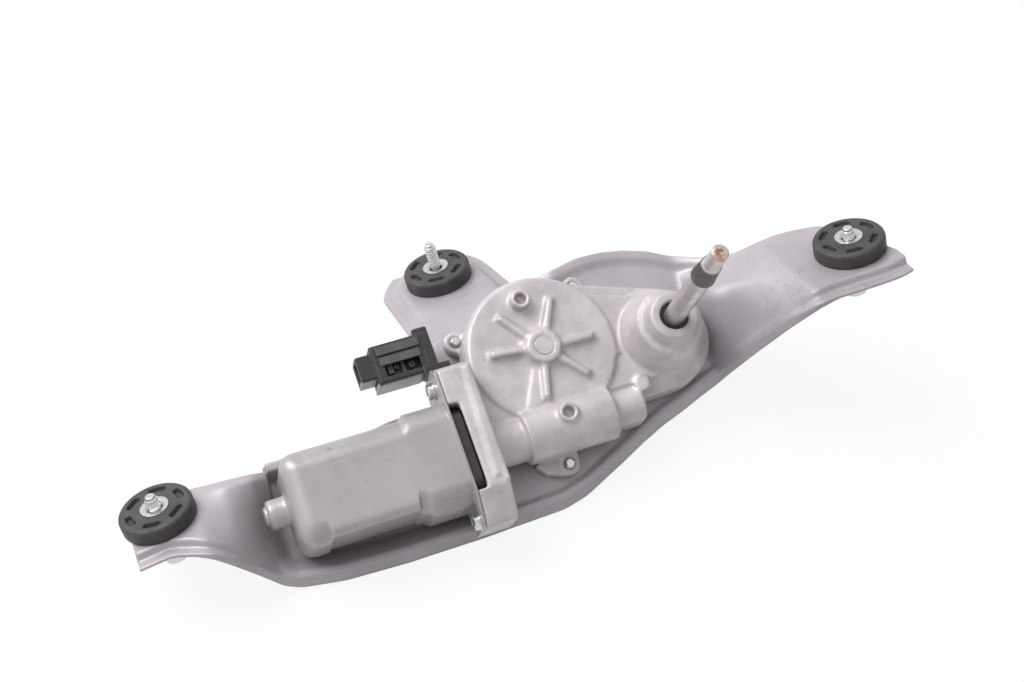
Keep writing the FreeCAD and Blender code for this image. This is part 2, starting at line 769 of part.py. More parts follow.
def make_bracket():
    """The pressed bracket: pan with trough, left and right arms, middle arm, tab and screw holes."""
    main_sheet = doc.addObject("Part::Feature", "bracket_main_sheet")
    main_sheet.Shape = Part.makeLoft([bracket_section(s) for s in STATIONS], True, True)
    arm_sheet = doc.addObject("Part::Feature", "bracket_arm_sheet")
    arm_sheet.Shape = Part.makeLoft([arm_section(s) for s in ARM_STATIONS], True, True)
    left = ARM_STATIONS[0][1]
    right = ARM_STATIONS[0][2] - 1.6
    room = box("bracket_arm_room", right - left, 80.0, 80.0, (left, ARM_START, PAN_Z - 40.0))
    trimmed = cut("bracket_trimmed", main_sheet, room)
    joined = fuse("bracket_joined", [trimmed, arm_sheet])
    holes = []
    for side in TAB_PLACES:
        place = mount_place(side)
        tool = doc.addObject("Part::Cylinder", f"bracket_hole_{side}")
        bind(tool, "Radius", cell("grommet_neck_dia") / 2)
        tool.Height = 24.0
        tool.Placement = place.multiply(FreeCAD.Placement(vec(0, 0, -12), FreeCAD.Rotation()))
        holes.append(tool)
    for i, (x, y) in enumerate(LUGS):
        hole_dia = cell("screw_dia") + cell("slip_fit") * 2
        holes.append(cylinder(f"bracket_screw_hole_{i}", hole_dia, 12.0, (x, y, pan_high - 6.0)))
    tools = fuse("bracket_holes", holes)
    return finish(cut("mounting_bracket_cut", joined, tools), "mounting_bracket")


# Gear housing casting

def make_gear_housing():
    """Die-cast case: wheel chamber, spindle tower, worm tube, motor head, lugs, hub and ribs."""
    outside = []
    step_z = -cell("tower_step_depth")
    base_z = -cell("tower_base_depth")
    skirt_z = -cell("skirt_depth")
    case_dia = cell("case_dia")
    skirt_dia = cell("skirt_dia")
    base_dia = cell("tower_base_dia")
    step_dia = cell("tower_step_dia")
    brim_low = case_top - cell("case_step")
    outside.append(belt_body("case_wall_block", case_dia, skirt_dia, case_low, skirt_z))
    outside.append(cylinder("case_drum", case_dia, brim_low - skirt_z, (*WHEEL, skirt_z)))
    brim = case_dia - cell("case_step") * 1.2
    outside.append(cone("case_brim", case_dia, brim, cell("case_step"), (*WHEEL, brim_low)))
    web_top = case_top - cell("web_drop")
    outside.append(belt_body("case_web", case_dia * 0.78, base_dia * 0.9, skirt_z, web_top))
    outside.append(cone("tower_skirt", skirt_dia, base_dia, base_z - skirt_z, (0, 0, skirt_z)))
    outside.append(cone("tower_cone", base_dia, step_dia, step_z - base_z, (0, 0, base_z)))
    neck_dia = cell("tower_neck_dia")
    outside.append(cone("tower_neck", neck_dia, cell("tower_face_dia"), -step_z, (0, 0, step_z)))
    hub_height = cell("case_top_depth") - cell("hub_depth")
    outside.append(cylinder("hub", cell("hub_dia"), hub_height, (*WHEEL, case_top)))
    for i, angle in enumerate(RIB_ANGLES):
        turn = FreeCAD.Rotation(Z_AXIS, angle)
        rib = doc.addObject("Part::Wedge", f"hub_rib_{i}")
        half = num(cell("rib_width")) / 2
        rise = num(cell("case_top_depth") - cell("rib_depth"))
        rib.Xmin, rib.Xmax = 0.0, num(cell("rib_reach"))
        rib.Ymin, rib.Ymax = -2.0, rise
        rib.Zmin, rib.Zmax = -half, half
        rib.X2min, rib.X2max = 0.0, num(cell("rib_reach")) - 3.0
        rib.Z2min, rib.Z2max = -half * 0.7, half * 0.7
        upright = FreeCAD.Rotation(X_AXIS, 90)
        rib.Placement = FreeCAD.Placement(vec(*WHEEL, case_top), turn.multiply(upright))
        outside.append(rib)
    for i, (x, y, depth) in enumerate(BLIND_BOSSES):
        outside.append(cylinder(f"blind_boss_{i}", cell("boss_dia"), 8.0, (x, y, -depth - 8.0)))
    for i, (x, y) in enumerate(LUGS):
        lug_height = cell("case_depth") - cell("lug_depth")
        outside.append(cylinder(f"lug_{i}", cell("lug_dia"), lug_height, (x, y, case_low)))
        inward = math.degrees(math.atan2(num(WHEEL[1]) - y, num(WHEEL[0]) - x))
        distance = math.hypot(num(WHEEL[0]) - x, num(WHEEL[1]) - y) - 30.0
        web_turn = FreeCAD.Rotation(Z_AXIS, inward)
        corner = web_turn.multVec(vec(0, -num(cell("lug_dia")) / 2, 0)).add(vec(x, y, case_low))
        outside.append(box(f"lug_web_{i}", distance, cell("lug_dia"), lug_height, tuple(corner), web_turn))
    plate = doc.addObject("PartDesign::Body", "lug_plate")
    plate_outline = sketch_on(plate, "lug_plate_outline", "XY_Plane", case_low)
    polygon(plate_outline, LUG_PLATE)
    pad(plate, "lug_plate_pad", plate_outline, cell("case_depth") - cell("lug_depth") - LUG_PROUD)
    outside.append(plate)
    tube_start = -cell("tube_start")
    tube_end = -cell("tube_end")
    tail_end = -cell("tail_end")
    tail_dia = cell("tail_dia")
    tail_length = tail_end - tube_end
    tail_foot = cell("case_depth") - cell("shaft_depth")
    web_rise = cell("case_depth") - cell("tail_web_depth")
    worm_pieces = [
        ("worm_neck", cell("neck_dia"), tube_start - head_high_x + 2.0, head_high_x - 1.0),
        ("worm_tube", cell("worm_tube_dia"), tube_end - tube_start, tube_start),
        ("worm_tail", tail_dia, tail_length + 4.0, tube_end - 4.0),
    ]
    for name, dia, length, x in worm_pieces:
        outside.append(cylinder(name, dia, length, (x, *SHAFT), ALONG_X))
    foot_at = (tube_end, shaft_y - tail_dia / 2, case_low)
    outside.append(box("worm_tail_foot", tail_length, tail_dia, tail_foot, foot_at))
    web_at = (tube_end, shaft_y, case_low)
    outside.append(box("worm_tail_web", tail_length - 1.0, cell("tail_web_width"), web_rise, web_at))
    outside.append(cylinder("tail_boss", cell("tail_boss_dia"), 22.0, (*TAIL_BOSS, case_low)))
    outside.append(make_head())
    head_top = HEAD_OUTLINE[1][1]
    rail_length = HEAD_OUTLINE[0][0] - HEAD_OUTLINE[1][0]
    rail_at = (head_high_x - cell("rail_width"), HEAD_OUTLINE[1][0], head_top)
    outside.append(box("head_rail", cell("rail_width"), rail_length, cell("rail_rise"), rail_at))
    wide, long, tall = BLOCK_SIZE
    block_turn = FreeCAD.Rotation(Z_AXIS, BLOCK_TURN)
    block_at = block_turn.multVec(vec(-wide / 2, -long / 2, 0)).add(vec(*BLOCK, web_top))
    outside.append(box("tower_block", wide, long, tall, tuple(block_at), block_turn))
    start, reach, wide, tall = PAD_SIZE
    pad_turn = FreeCAD.Rotation(Z_AXIS, PAD_ANGLE)
    pad_at = pad_turn.multVec(vec(start, -wide / 2, 0)).add(vec(*WHEEL, case_top - 1.0))
    outside.append(box("case_pad", reach, wide, tall + 1.0, tuple(pad_at), pad_turn))
    solid = fuse("housing_outside", outside)

    inside = []
    inside.append(cylinder("wheel_chamber", cavity_dia, roof_low - case_low, (*WHEEL, case_low)))
    lower_roof = -cell("skirt_depth") - cell("case_roof")
    inside.append(belt_body("linkage_chamber", cavity_dia, skirt_cavity_dia, case_low, lower_roof))
    lap = cell("cover_lap") * 2
    inside.append(belt_body("cover_seat", cavity_dia + lap, skirt_cavity_dia + lap, case_low, gasket_high))
    mouth_depth = cell("seal_depth") + cell("seal_height") + cell("clip_thick") * 2 + 0.4
    inside.append(cylinder("tower_mouth", cell("tower_mouth_dia"), mouth_depth, (0, 0, -mouth_depth)))
    inside.append(cylinder("bush_bore", cell("bush_dia"), 40.0, (0, 0, -40.0)))
    inside.append(cylinder("axle_bore", cell("axle_dia"), 12.0, (*WHEEL, -cell("hub_depth") - 10.0)))
    for i, (x, y, depth) in enumerate(BLIND_BOSSES):
        inside.append(cylinder(f"blind_bore_{i}", cell("boss_bore"), 5.0, (x, y, -depth - 5.0)))
    for i, (x, y) in enumerate(LUGS):
        inside.append(cylinder(f"lug_bore_{i}", cell("screw_dia"), 14.0, (x, y, case_low - 1.0)))
    bore_start = head_high_x - cell("head_wall") - 1.0
    bore_end = tube_end - 0.4
    bore_dia = cell("worm_bore")
    bore_at = (bore_start, *SHAFT)
    inside.append(cylinder("worm_bore_cut", bore_dia, bore_end - bore_start, bore_at, ALONG_X))
    plug_room = tail_end - bore_end + 2.0
    inside.append(cylinder("plug_bore", cell("plug_dia"), plug_room, (bore_end - 1.0, *SHAFT), ALONG_X))
    inside.append(make_head_room())
    tool = fuse("housing_inside", inside)
    return finish(cut("gear_housing_cut", solid, tool), "gear_housing")


HEAD_OUTLINE = [
    (9.0, -12.0),
    (-49.6, -12.0),
    (-65.5, -20.5),
    (-65.5, -41.5),
    (-57.5, -43.8),
    (-48.4, -51.9),
    (-15.6, -51.9),
    (-7.4, -45.8),
    (-4.6, -43.8),
    (11.5, -43.0),
    (12.5, -20.0),
]


def make_head():
    """The casting's head that the motor can bolts to, as a pad along X."""
    body = doc.addObject("PartDesign::Body", "motor_head")
    sketch = sketch_on(body, "motor_head_outline", "YZ_Plane", head_low_x)
    polygon(sketch, HEAD_OUTLINE)
    pad(body, "motor_head_pad", sketch, cell("head_length"))
    return body


def rounded_square(sketch, width, height, corner):
    """A square outline with round corners about the motor shaft, held by its sizes."""
    w = num(width) / 2
    tall = num(height) / 2
    r = num(corner)
    y = num(shaft_y)
    z = num(shaft_z)
    turns = [(1, 1, 0), (-1, 1, 90), (-1, -1, 180), (1, -1, 270)]
    ends = []
    for side_y, side_z, start in turns:
        centre = vec(y + side_y * (w - r), z + side_z * (tall - r), 0)
        arc = Part.ArcOfCircle(Part.Circle(centre, Z_AXIS, r), math.radians(start), math.radians(start + 90))
        ends.append((arc.StartPoint, arc.EndPoint))
        sketch.addGeometry(arc, False)
    for i in range(4):
        sketch.addGeometry(Part.LineSegment(ends[i][1], ends[(i + 1) % 4][0]), False)
    for i in range(4):
        sketch.addConstraint(Sketcher.Constraint("Tangent", i, 2, 4 + i, 1))
        sketch.addConstraint(Sketcher.Constraint("Tangent", 4 + i, 2, (i + 1) % 4, 1))
    for i in range(3):
        sketch.addConstraint(Sketcher.Constraint("Equal", i, i + 1))
    sketch.addConstraint(Sketcher.Constraint("Horizontal", 4))
    sketch.addConstraint(Sketcher.Constraint("Vertical", 5))
    radius = sketch.addConstraint(Sketcher.Constraint("Radius", 0, r))
    sketch.setExpression(f"Constraints[{radius}]", corner.text)
    sides = (
        ("DistanceX", 0, 1, shaft_y + width / 2),
        ("DistanceY", 0, 2, shaft_z + height / 2),
        ("DistanceX", 2, 1, shaft_y - width / 2),
        ("DistanceY", 2, 2, shaft_z - height / 2),
    )
    for kind, arc, end, value in sides:
        held = sketch.addConstraint(Sketcher.Constraint(kind, -1, 1, arc, end, num(value)))
        sketch.setExpression(f"Constraints[{held}]", value.text)


def make_head_room():
    """The brush room inside the head, with the slot in its upper edge."""
    body = doc.addObject("PartDesign::Body", "head_room")
    sketch = sketch_on(body, "head_room_outline", "YZ_Plane", head_low_x)
    can_inside(sketch, cell("can_wall"))
    pad(body, "head_room_pad", sketch, cell("head_length") - cell("head_wall"))
    slot_at = (head_low_x, shaft_y - cell("slot_length") / 2, case_top)
    slot = box("head_slot", cell("slot_width"), cell("slot_length"), 12.0, slot_at)
    screws = [slot, body]
    for side in (1, -1):
        y = shaft_y + cell("ear_span") / 2 * side
        tap_at = (head_low_x, y, shaft_z + cell("ear_rise"))
        screws.append(cylinder(f"head_tap_{side}", cell("screw_dia"), 11.0, tap_at, ALONG_X))
    return fuse("head_room_all", screws)


def make_cover():
    """Pressed back cover of the case and the gasket under its edge."""
    edge = cell("cover_lap") * 2 - cell("slip_fit") * 2
    big = cavity_dia + edge
    small = skirt_cavity_dia + edge
    finish(belt_body("gear_cover_body", big, small, cover_low, cover_high), "gear_cover")
    gasket = doc.addObject("PartDesign::Body", "cover_gasket_body")
    outline = sketch_on(gasket, "gasket_outline", "XY_Plane", cover_high)
    belt(outline, WHEEL, big, SPINDLE, small)
    pad(gasket, "gasket_pad", outline, cell("gasket_thick"))
    window = sketch_on(gasket, "gasket_window", "XY_Plane", gasket_high)
    belt(window, WHEEL, cavity_dia, SPINDLE, skirt_cavity_dia)
    pocket(gasket, "gasket_cut", window, cell("gasket_thick"))
    finish(gasket, "cover_gasket")


def make_housing_screws():
    """Three screws from below through the bracket into the lugs, their tips standing out on top."""
    under = pan_high - cell("sheet")
    length = -cell("lug_depth") - under + cell("tip_proud")
    screws = [screw(f"housing_screw_{i}", length, (x, y, under)) for i, (x, y) in enumerate(LUGS)]
    finish(set_of("housing_screw_set", screws), "housing_screws")


# Motor can and stator

can_face_x = head_low_x - cell("flange_thick")
can_back_x = head_low_x - cell("can_length")


def rear_edges(body, x, keep_out):
    """Names of the outer edges of a body in the plane x, apart from those near the shaft."""
    names = []
    for i, edge in enumerate(body.Shape.Edges):
        bounds = edge.BoundBox
        if max(abs(bounds.XMin - x), abs(bounds.XMax - x)) > 1e-4:
            continue
        if edge.CenterOfMass.sub(vec(x, shaft_y, shaft_z)).Length > keep_out:
            names.append(f"Edge{i + 1}")
    return names


def can_inside(sketch, wall):
    """The can's outline taken in by a wall."""
    inner_width = cell("can_width") - wall * 2
    inner_height = cell("can_height") - wall * 2
    rounded_square(sketch, inner_width, inner_height, cell("can_corner") - wall)


def make_can():
    """Drawn steel can with round rear edges, a flange with ears and a bearing cup."""
    body = doc.addObject("PartDesign::Body", "motor_can_body")
    shell = sketch_on(body, "can_outline", "YZ_Plane", can_back_x)
    rounded_square(shell, cell("can_width"), cell("can_height"), cell("can_corner"))
    block = pad(body, "can_pad", shell, cell("can_length"))
    doc.recompute()
    soft = body.newObject("PartDesign::Fillet", "can_rear_fillet")
    soft.Base = (block, rear_edges(body, num(can_back_x), 5.0))
    bind(soft, "Radius", cell("can_edge"))
    body.Tip = soft
    collars = []
    collar_width = cell("can_width") + cell("collar_rise") * 2
    taper_back = cell("collar_length") + cell("collar_taper")
    steps = [("narrow", cell("can_width"), taper_back), ("full", collar_width, cell("collar_length"))]
    for name, width, back in steps:
        collar = sketch_on(body, f"can_collar_{name}", "YZ_Plane", head_low_x - back)
        rounded_square(collar, width, cell("can_height"), cell("can_corner"))
        collars.append(collar)
    taper = body.newObject("PartDesign::AdditiveLoft", "can_collar_taper")
    taper.Profile = collars[0]
    taper.Sections = [collars[1]]
    body.Tip = taper
    wide = sketch_on(body, "can_collar_wide", "YZ_Plane", head_low_x - cell("collar_length"))
    rounded_square(wide, collar_width, cell("can_height"), cell("can_corner"))
    pad(body, "can_collar_pad", wide, cell("collar_length"))
    flange = sketch_on(body, "can_flange_outline", "YZ_Plane", can_face_x)
    polygon(flange, HEAD_OUTLINE)
    pad(body, "can_flange_pad", flange, cell("flange_thick"))
    tip = sketch_on(body, "can_tip_outline", "YZ_Plane", can_back_x - cell("cup_length") - cell("cup_tip"))
    circle(tip, shaft_y, shaft_z, cell("cup_tip_dia"))
    pad(body, "can_tip_pad", tip, cell("cup_tip") + 1.0)
    cup = sketch_on(body, "can_cup_outline", "YZ_Plane", can_back_x - cell("cup_length"))
    circle(cup, shaft_y, shaft_z, cell("cup_dia"))
    pad(body, "can_cup_pad", cup, cell("cup_length") + 1.0)
    wall = cell("can_wall")
    room = sketch_on(body, "can_room_outline", "YZ_Plane", head_low_x)
    can_inside(room, wall)
    pocket(body, "can_room", room, cell("can_length") - cell("can_edge") - 0.5)
    end_room = sketch_on(body, "can_end_outline", "YZ_Plane", can_back_x + cell("can_edge") + 1.0)
    circle(end_room, shaft_y, shaft_z, cell("can_end_bore"))
    pocket(body, "can_end_room", end_room, cell("can_edge") + 1.0 - cell("can_floor"))
    bore = sketch_on(body, "can_bearing_bore", "YZ_Plane", can_back_x + cell("can_floor"))
    circle(bore, shaft_y, shaft_z, cell("bearing_dia"))
    pocket(body, "can_bearing_room", bore, cell("cup_length") + cell("can_floor") - wall)
    holes = []
    for side in (1, -1):
        y = shaft_y + cell("ear_span") / 2 * side
        at = (can_face_x - 1.0, y, shaft_z + cell("ear_rise"))
        holes.append(cylinder(f"can_ear_hole_{side}", cell("screw_dia"), 4.0, at, ALONG_X))
    tool = fuse("can_ear_holes", holes)
    finish(cut("motor_can_cut", body, tool), "motor_can")


def make_can_screws():
    """Two screws through the can's ears into the casting's head."""
    screws = []
    for i, side in enumerate((1, -1)):
        y = shaft_y + cell("ear_span") / 2 * side
        at = (can_face_x, y, shaft_z + cell("ear_rise"))
        screws.append(screw(f"can_screw_{i}", cell("flange_thick") + cell("screw_grip"), at, ALONG_X))
    finish(set_of("can_screw_set", screws), "motor_can_screws")


def shaft_place(x):
    """Placement of a piece drawn along Z that sits on the motor shaft at x."""
    return FreeCAD.Placement(vec(x, *SHAFT), ALONG_X)


def make_stator():
    """What stands still inside the can and the head: magnets, bearings, brush gear, plug."""
    length = cell("bearing_length")
    bore = cell("shaft_dia") + cell("running_fit") * 2
    rear = ring("rear_bearing_body", cell("bearing_dia"), bore, 0.0, length)
    finish(rear, "rear_bearing", shaft_place(can_back_x - cell("cup_length") + cell("can_wall")))
    front = ring("front_bearing_body", cell("worm_bore"), bore, 0.0, length)
    finish(front, "front_bearing", shaft_place(head_high_x - cell("head_wall")))
    plug = cylinder("thrust_screw_bar", cell("plug_dia"), cell("plug_length"), (0, 0, 0))
    slot_wide, slot_deep = 1.4, 1.5
    slot_at = (-cell("plug_dia"), -slot_wide / 2, cell("plug_length") - slot_deep)
    slot = box("thrust_screw_slot", cell("plug_dia") * 2, slot_wide, slot_deep, slot_at)
    plug_x = -cell("tail_end") - cell("plug_length")
    finish(cut("thrust_screw_cut", plug, slot), "thrust_screw", shaft_place(plug_x))
    make_magnets(can_back_x + cell("can_edge") + 1.0)
    make_brush_gear()


def make_magnets(start):
    """Two ferrite shells seated against the can's walls."""
    inner = cell("core_dia") + cell("air_gap") * 2
    tube = doc.addObject("PartDesign::Body", "magnet_block")
    outline = sketch_on(tube, "magnet_outline", "YZ_Plane", start)
    can_inside(outline, cell("can_wall"))
    pad(tube, "magnet_pad", outline, cell("magnet_length"))
    through = cell("magnet_length") + 2.0
    tall = cell("can_height") * 2
    bore = cylinder("magnet_bore", inner, through, (start - 1.0, *SHAFT), ALONG_X)
    gap_at = (start - 1.0, shaft_y - cell("magnet_gap") / 2, shaft_z - tall / 2)
    gap = box("magnet_gap", through, cell("magnet_gap"), tall, gap_at)
    tool = fuse("magnet_room", [bore, gap])
    finish(cut("magnet_pair", tube, tool), "magnets")


BRUSH_ANGLES = [30.0, 150.0, 270.0]


def make_brush_gear():
    """Brush plate in the slot of the head, with three brushes and their springs."""
    thick = cell("brush_plate_thick")
    plate_x = head_low_x + 0.1
    plate = doc.addObject("PartDesign::Body", "brush_plate_body")
    outline = sketch_on(plate, "brush_plate_outline", "YZ_Plane", plate_x)
    can_inside(outline, cell("can_wall") + cell("slip_fit"))
    pad(plate, "brush_plate_pad", outline, thick)
    bore_dia = cell("commutator_dia") + 2.0
    bore_at = (plate_x - 1.0, *SHAFT)
    tools = [cylinder("brush_plate_bore", bore_dia, thick + 2.0, bore_at, ALONG_X)]
    brushes = []
    springs = []
    start = cell("commutator_dia") / 2 + cell("running_fit")
    wide = cell("brush_width")
    long = cell("brush_length")
    brush_thick = thick - 0.4
    spring_dia = wide * 0.7
    spring_x = plate_x + brush_thick / 2
    for i, angle in enumerate(BRUSH_ANGLES):
        turn = FreeCAD.Rotation(X_AXIS, angle)

        def corner(x, out, across):
            """A point beside the commutator, turned with the brush."""
            return tuple(turn.multVec(vec(0, out, across)).add(vec(x, *SHAFT)))

        room = long + cell("brush_spring") + 1.0
        room_at = corner(plate_x - 0.5, start - 1.0, -wide / 2)
        tools.append(box(f"brush_pocket_{i}", thick + 1.0, room, wide, room_at, turn))
        brush_at = corner(plate_x, start, -wide / 2)
        brushes.append(box(f"brush_{i}", brush_thick, long, wide, brush_at, turn))
        spring_turn = turn.multiply(FreeCAD.Rotation(Z_AXIS, Y_AXIS))
        spring_at = corner(spring_x, start + long, 0)
        spring = cylinder(f"brush_spring_{i}", spring_dia, cell("brush_spring"), spring_at, spring_turn)
        springs.append(spring)
    tool = fuse("brush_plate_room", tools)
    finish(cut("brush_plate_cut", plate, tool), "brush_plate")
    finish(set_of("brush_set", brushes), "carbon_brushes")
    finish(set_of("brush_spring_set", springs), "brush_springs")


# Armature

def make_armature():
    """Armature shaft with its rolled worm, slotted core, windings and commutator."""
    rear_x = can_back_x - cell("cup_length") + cell("can_wall") + 1.0
    front_x = -cell("tail_end") - cell("plug_length") - cell("slip_fit")
    pitch = cell("gear_module") * math.pi
    worm_length = pitch * cell("worm_turns")
    worm_mid = WHEEL[0]
    worm_low = worm_mid - worm_length / 2
    rod_low = cylinder("shaft_rear", cell("shaft_dia"), front_x - rear_x, (rear_x, *SHAFT), ALONG_X)
    thread = doc.addObject("Part::Feature", "worm_thread")
    thread.Shape = worm_thread_shape(num(worm_low), num(pitch), num(worm_length))
    collar = cylinder("worm_collar", cell("shaft_dia") + 3.0, 2.0, (worm_low - 6.0, *SHAFT), ALONG_X)
    finish(fuse("armature_shaft_all", [rod_low, thread, collar]), "armature_shaft")
    core_x = can_back_x + cell("can_edge") + 4.0
    make_core(core_x)
    commutator = doc.addObject("Part::Feature", "commutator_shape")
    commutator.Shape = commutator_shape()
    finish(commutator, "commutator", shaft_place(head_low_x - 3.0))


def worm_thread_shape(low_x, pitch, length):
    """Right-hand worm thread about X: a trapezoid swept along a helix, starting on the +Y side."""
    module = num(cell("gear_module"))
    tip_r = num(cell("worm_pitch_dia")) / 2 + module * 0.9
    root_r = num(cell("shaft_dia")) / 2 - 0.3
    pitch_r = num(cell("worm_pitch_dia")) / 2
    slope = math.tan(math.radians(20.0))
    half = pitch / 4 - num(cell("tooth_backlash")) / 2
    helix = Part.makeHelix(pitch, length, pitch_r)
    wide = half + (pitch_r - root_r) * slope
    thin = half - (tip_r - pitch_r) * slope
    corners = [vec(root_r, 0, -wide), vec(tip_r, 0, -thin), vec(tip_r, 0, thin), vec(root_r, 0, wide)]
    profile = Part.makePolygon(corners + [corners[0]])
    sweep = Part.Wire(helix).makePipeShell([profile], True, True)
    # The helix runs up Z from the X side; turning Z onto X and X onto Y starts it on the +Y side.
    turn = FreeCAD.Matrix(0, 0, 1, low_x, 1, 0, 0, num(shaft_y), 0, 1, 0, num(shaft_z), 0, 0, 0, 1)
    return sweep.transformGeometry(turn)


def make_core(start):
    """Slotted iron core and the copper in its slots, with the end turns."""
    slots = int(num(cell("core_slots")))
    long = cell("core_length")
    wide = cell("slot_copper")
    over = cell("end_turn")
    core = cylinder("core_block", cell("core_dia"), long, (start, *SHAFT), ALONG_X)
    cuts = [cylinder("core_bore", cell("shaft_dia"), long + 2.0, (start - 1.0, *SHAFT), ALONG_X)]
    wires = []
    low = cell("core_dia") * 0.27
    depth = cell("core_dia") / 2
    copper = cell("core_dia") * 0.18
    for i in range(slots):
        turn = FreeCAD.Rotation(X_AXIS, 360.0 * i / slots)
        corner = turn.multVec(vec(0, low, -wide / 2))
        slot_at = tuple(corner.add(vec(start - 1.0, *SHAFT)))
        cuts.append(box(f"core_slot_{i}", long + 2.0, depth, wide, slot_at, turn))
        wire_at = tuple(corner.add(vec(start - over, *SHAFT)))
        wires.append(box(f"slot_wire_{i}", long + over * 2, copper, wide, wire_at, turn))
    tool = fuse("core_cuts", cuts)
    finish(cut("core_cut", core, tool), "armature_core")
    for side, x in (("rear", start - over), ("front", start + long)):
        block = cylinder(f"end_turn_{side}", cell("core_dia") * 0.86, over, (x, *SHAFT), ALONG_X)
        hole_at = (x - 1.0, *SHAFT)
        hole = cylinder(f"end_turn_hole_{side}", cell("shaft_dia"), over + 2.0, hole_at, ALONG_X)
        wires.append(cut(f"end_turn_ring_{side}", block, hole))
    finish(fuse("winding_all", wires), "windings")


def commutator_shape():
    """Commutator along Z: a sleeve with narrow gaps between its bars."""
    bars = int(num(cell("core_slots")))
    outer = num(cell("commutator_dia")) / 2
    length = num(cell("commutator_length"))
    drum = Part.makeCylinder(outer, length).cut(Part.makeCylinder(num(cell("shaft_dia")) / 2, length))
    gaps = []
    for i in range(bars):
        gap = Part.makeBox(2.0, 0.6, length, vec(outer - 1.0, -0.3, 0))
        gap.rotate(FreeCAD.Vector(), Z_AXIS, 360.0 * (i + 0.5) / bars)
        gaps.append(gap)
    return drum.cut(gaps)


# Worm wheel

def gear_wire(z, turn_deg):
    """Outline of the worm wheel at a height: one straight-sided tooth per step, as a closed wire."""
    teeth = int(num(cell("wheel_teeth")))
    module = num(cell("gear_module"))
    pitch_r = num(pitch_dia) / 2
    root_r = pitch_r - module * 1.2
    tip_r = pitch_r + module * 0.9
    slope = math.tan(math.radians(20.0))
    half = math.pi * module / 4 - num(cell("tooth_backlash")) / 2
    points = []
    flank = [
        (root_r, half + (pitch_r - root_r) * slope),
        (tip_r, half - (tip_r - pitch_r) * slope),
    ]
    for i in range(teeth):
        middle = 2 * math.pi * i / teeth + math.radians(turn_deg) - math.pi / 2
        points += [(radius, middle - width / radius) for radius, width in flank]
        points += [(radius, middle + width / radius) for radius, width in reversed(flank)]
    corners = [vec(r * math.cos(a), r * math.sin(a), z) for r, a in points]
    return Part.makePolygon(corners + [corners[0]])


def make_wheel():
    """Helical worm wheel with its hub, the crank pin pressed into it and the contact ring."""
    lead = math.atan(num(cell("gear_module")) / num(cell("worm_pitch_dia")))
    face = num(cell("wheel_face"))
    twist = math.degrees(face * math.tan(lead) / (num(pitch_dia) / 2))
    blank = doc.addObject("Part::Feature", "wheel_blank")
    blank.Shape = Part.makeLoft([gear_wire(0.0, -twist / 2), gear_wire(face, twist / 2)], True, True)
    blank.Placement = FreeCAD.Placement(vec(*WHEEL, wheel_low), FreeCAD.Rotation())
    track_dia = cell("ring_track_dia")
    drop = cell("ring_drop")
    track_place = FreeCAD.Placement(vec(*WHEEL, wheel_high - drop), FreeCAD.Rotation())
    bore_dia = cell("axle_dia") + cell("running_fit") * 2
    bore_at = (*WHEEL, wheel_low - 1.0)
    cuts = [
        cylinder("wheel_bore", bore_dia, cell("wheel_face") + 2.0, bore_at),
        cylinder("wheel_clip_room", cell("axle_dia") * 2.0, cell("clip_room"), (*WHEEL, wheel_low)),
    ]
    recess = ring("wheel_recess", track_dia + 8.0, track_dia - 8.0, 0.0, drop)
    recess.Placement = track_place
    cuts.append(recess)
    cuts.append(cylinder("crank_bore", cell("crank_pin_dia"), cell("crank_seat"), (*CRANK, wheel_low)))
    tool = fuse("wheel_cuts", cuts)
    finish(cut("worm_wheel_cut", blank, tool), "worm_wheel")
    pin_end = rod_low - cell("pin_proud")
    pin_top = wheel_low + cell("crank_seat")
    crank_place = FreeCAD.Placement(vec(*CRANK, 0), FreeCAD.Rotation())
    finish(pin("crank_pin_bar", cell("crank_pin_dia"), pin_end, pin_top), "crank_pin", crank_place)
    track = ring("park_ring_body", track_dia + 7.0, track_dia - 7.0, 0.0, cell("park_ring_thick"))
    notch = box("park_ring_notch", 8.0, 8.0, 2.0, (track_dia / 2, -4.0, -1.0))
    finish(cut("park_ring_cut", track, notch), "park_ring", track_place)


def make_axle():
    """Wheel axle pressed into the hub, with the clip that keeps the wheel on it."""
    clip_z = wheel_low + cell("clip_room") - cell("clip_thick") - 0.3
    axle_low = wheel_low + 0.4
    groove = cell("axle_dia") - 1.6
    top = -cell("hub_depth")
    r = cell("axle_dia") / 2
    body = turned("wheel_axle_body", [
        (0, axle_low),
        (r - 0.4, axle_low),
        (r - 0.4, clip_z),
        (groove / 2, clip_z),
        (groove / 2, clip_z + cell("clip_thick")),
        (r, clip_z + cell("clip_thick")),
        (r, top),
        (0, top),
    ])
    wheel_place = FreeCAD.Placement(vec(*WHEEL, 0), FreeCAD.Rotation())
    finish(body, "wheel_axle", wheel_place)
    clip = ring("wheel_clip_ring", cell("axle_dia") + 4.0, groove, clip_z, clip_z + cell("clip_thick"))
    mouth = box("wheel_clip_mouth", 12.0, groove * 0.8, 4.0, (0, -groove * 0.4, clip_z - 1.0))
    finish(cut("wheel_clip_cut", clip, mouth), "wheel_clip", wheel_place)


# Linkage

def link_plate(name, first, first_dia, second, second_dia, low, thick, bores):
    """A flat link with two round eyes."""
    body = doc.addObject("PartDesign::Body", name)
    sketch = sketch_on(body, f"{name}_outline", "XY_Plane", low)
    belt(sketch, first, first_dia, second, second_dia)
    pad(body, f"{name}_pad", sketch, thick)
    for i, (at, dia) in enumerate(bores):
        hole = sketch_on(body, f"{name}_bore_{i}", "XY_Plane", low + thick)
        circle(hole, *at, dia)
        pocket(body, f"{name}_hole_{i}", hole, thick)
    return body


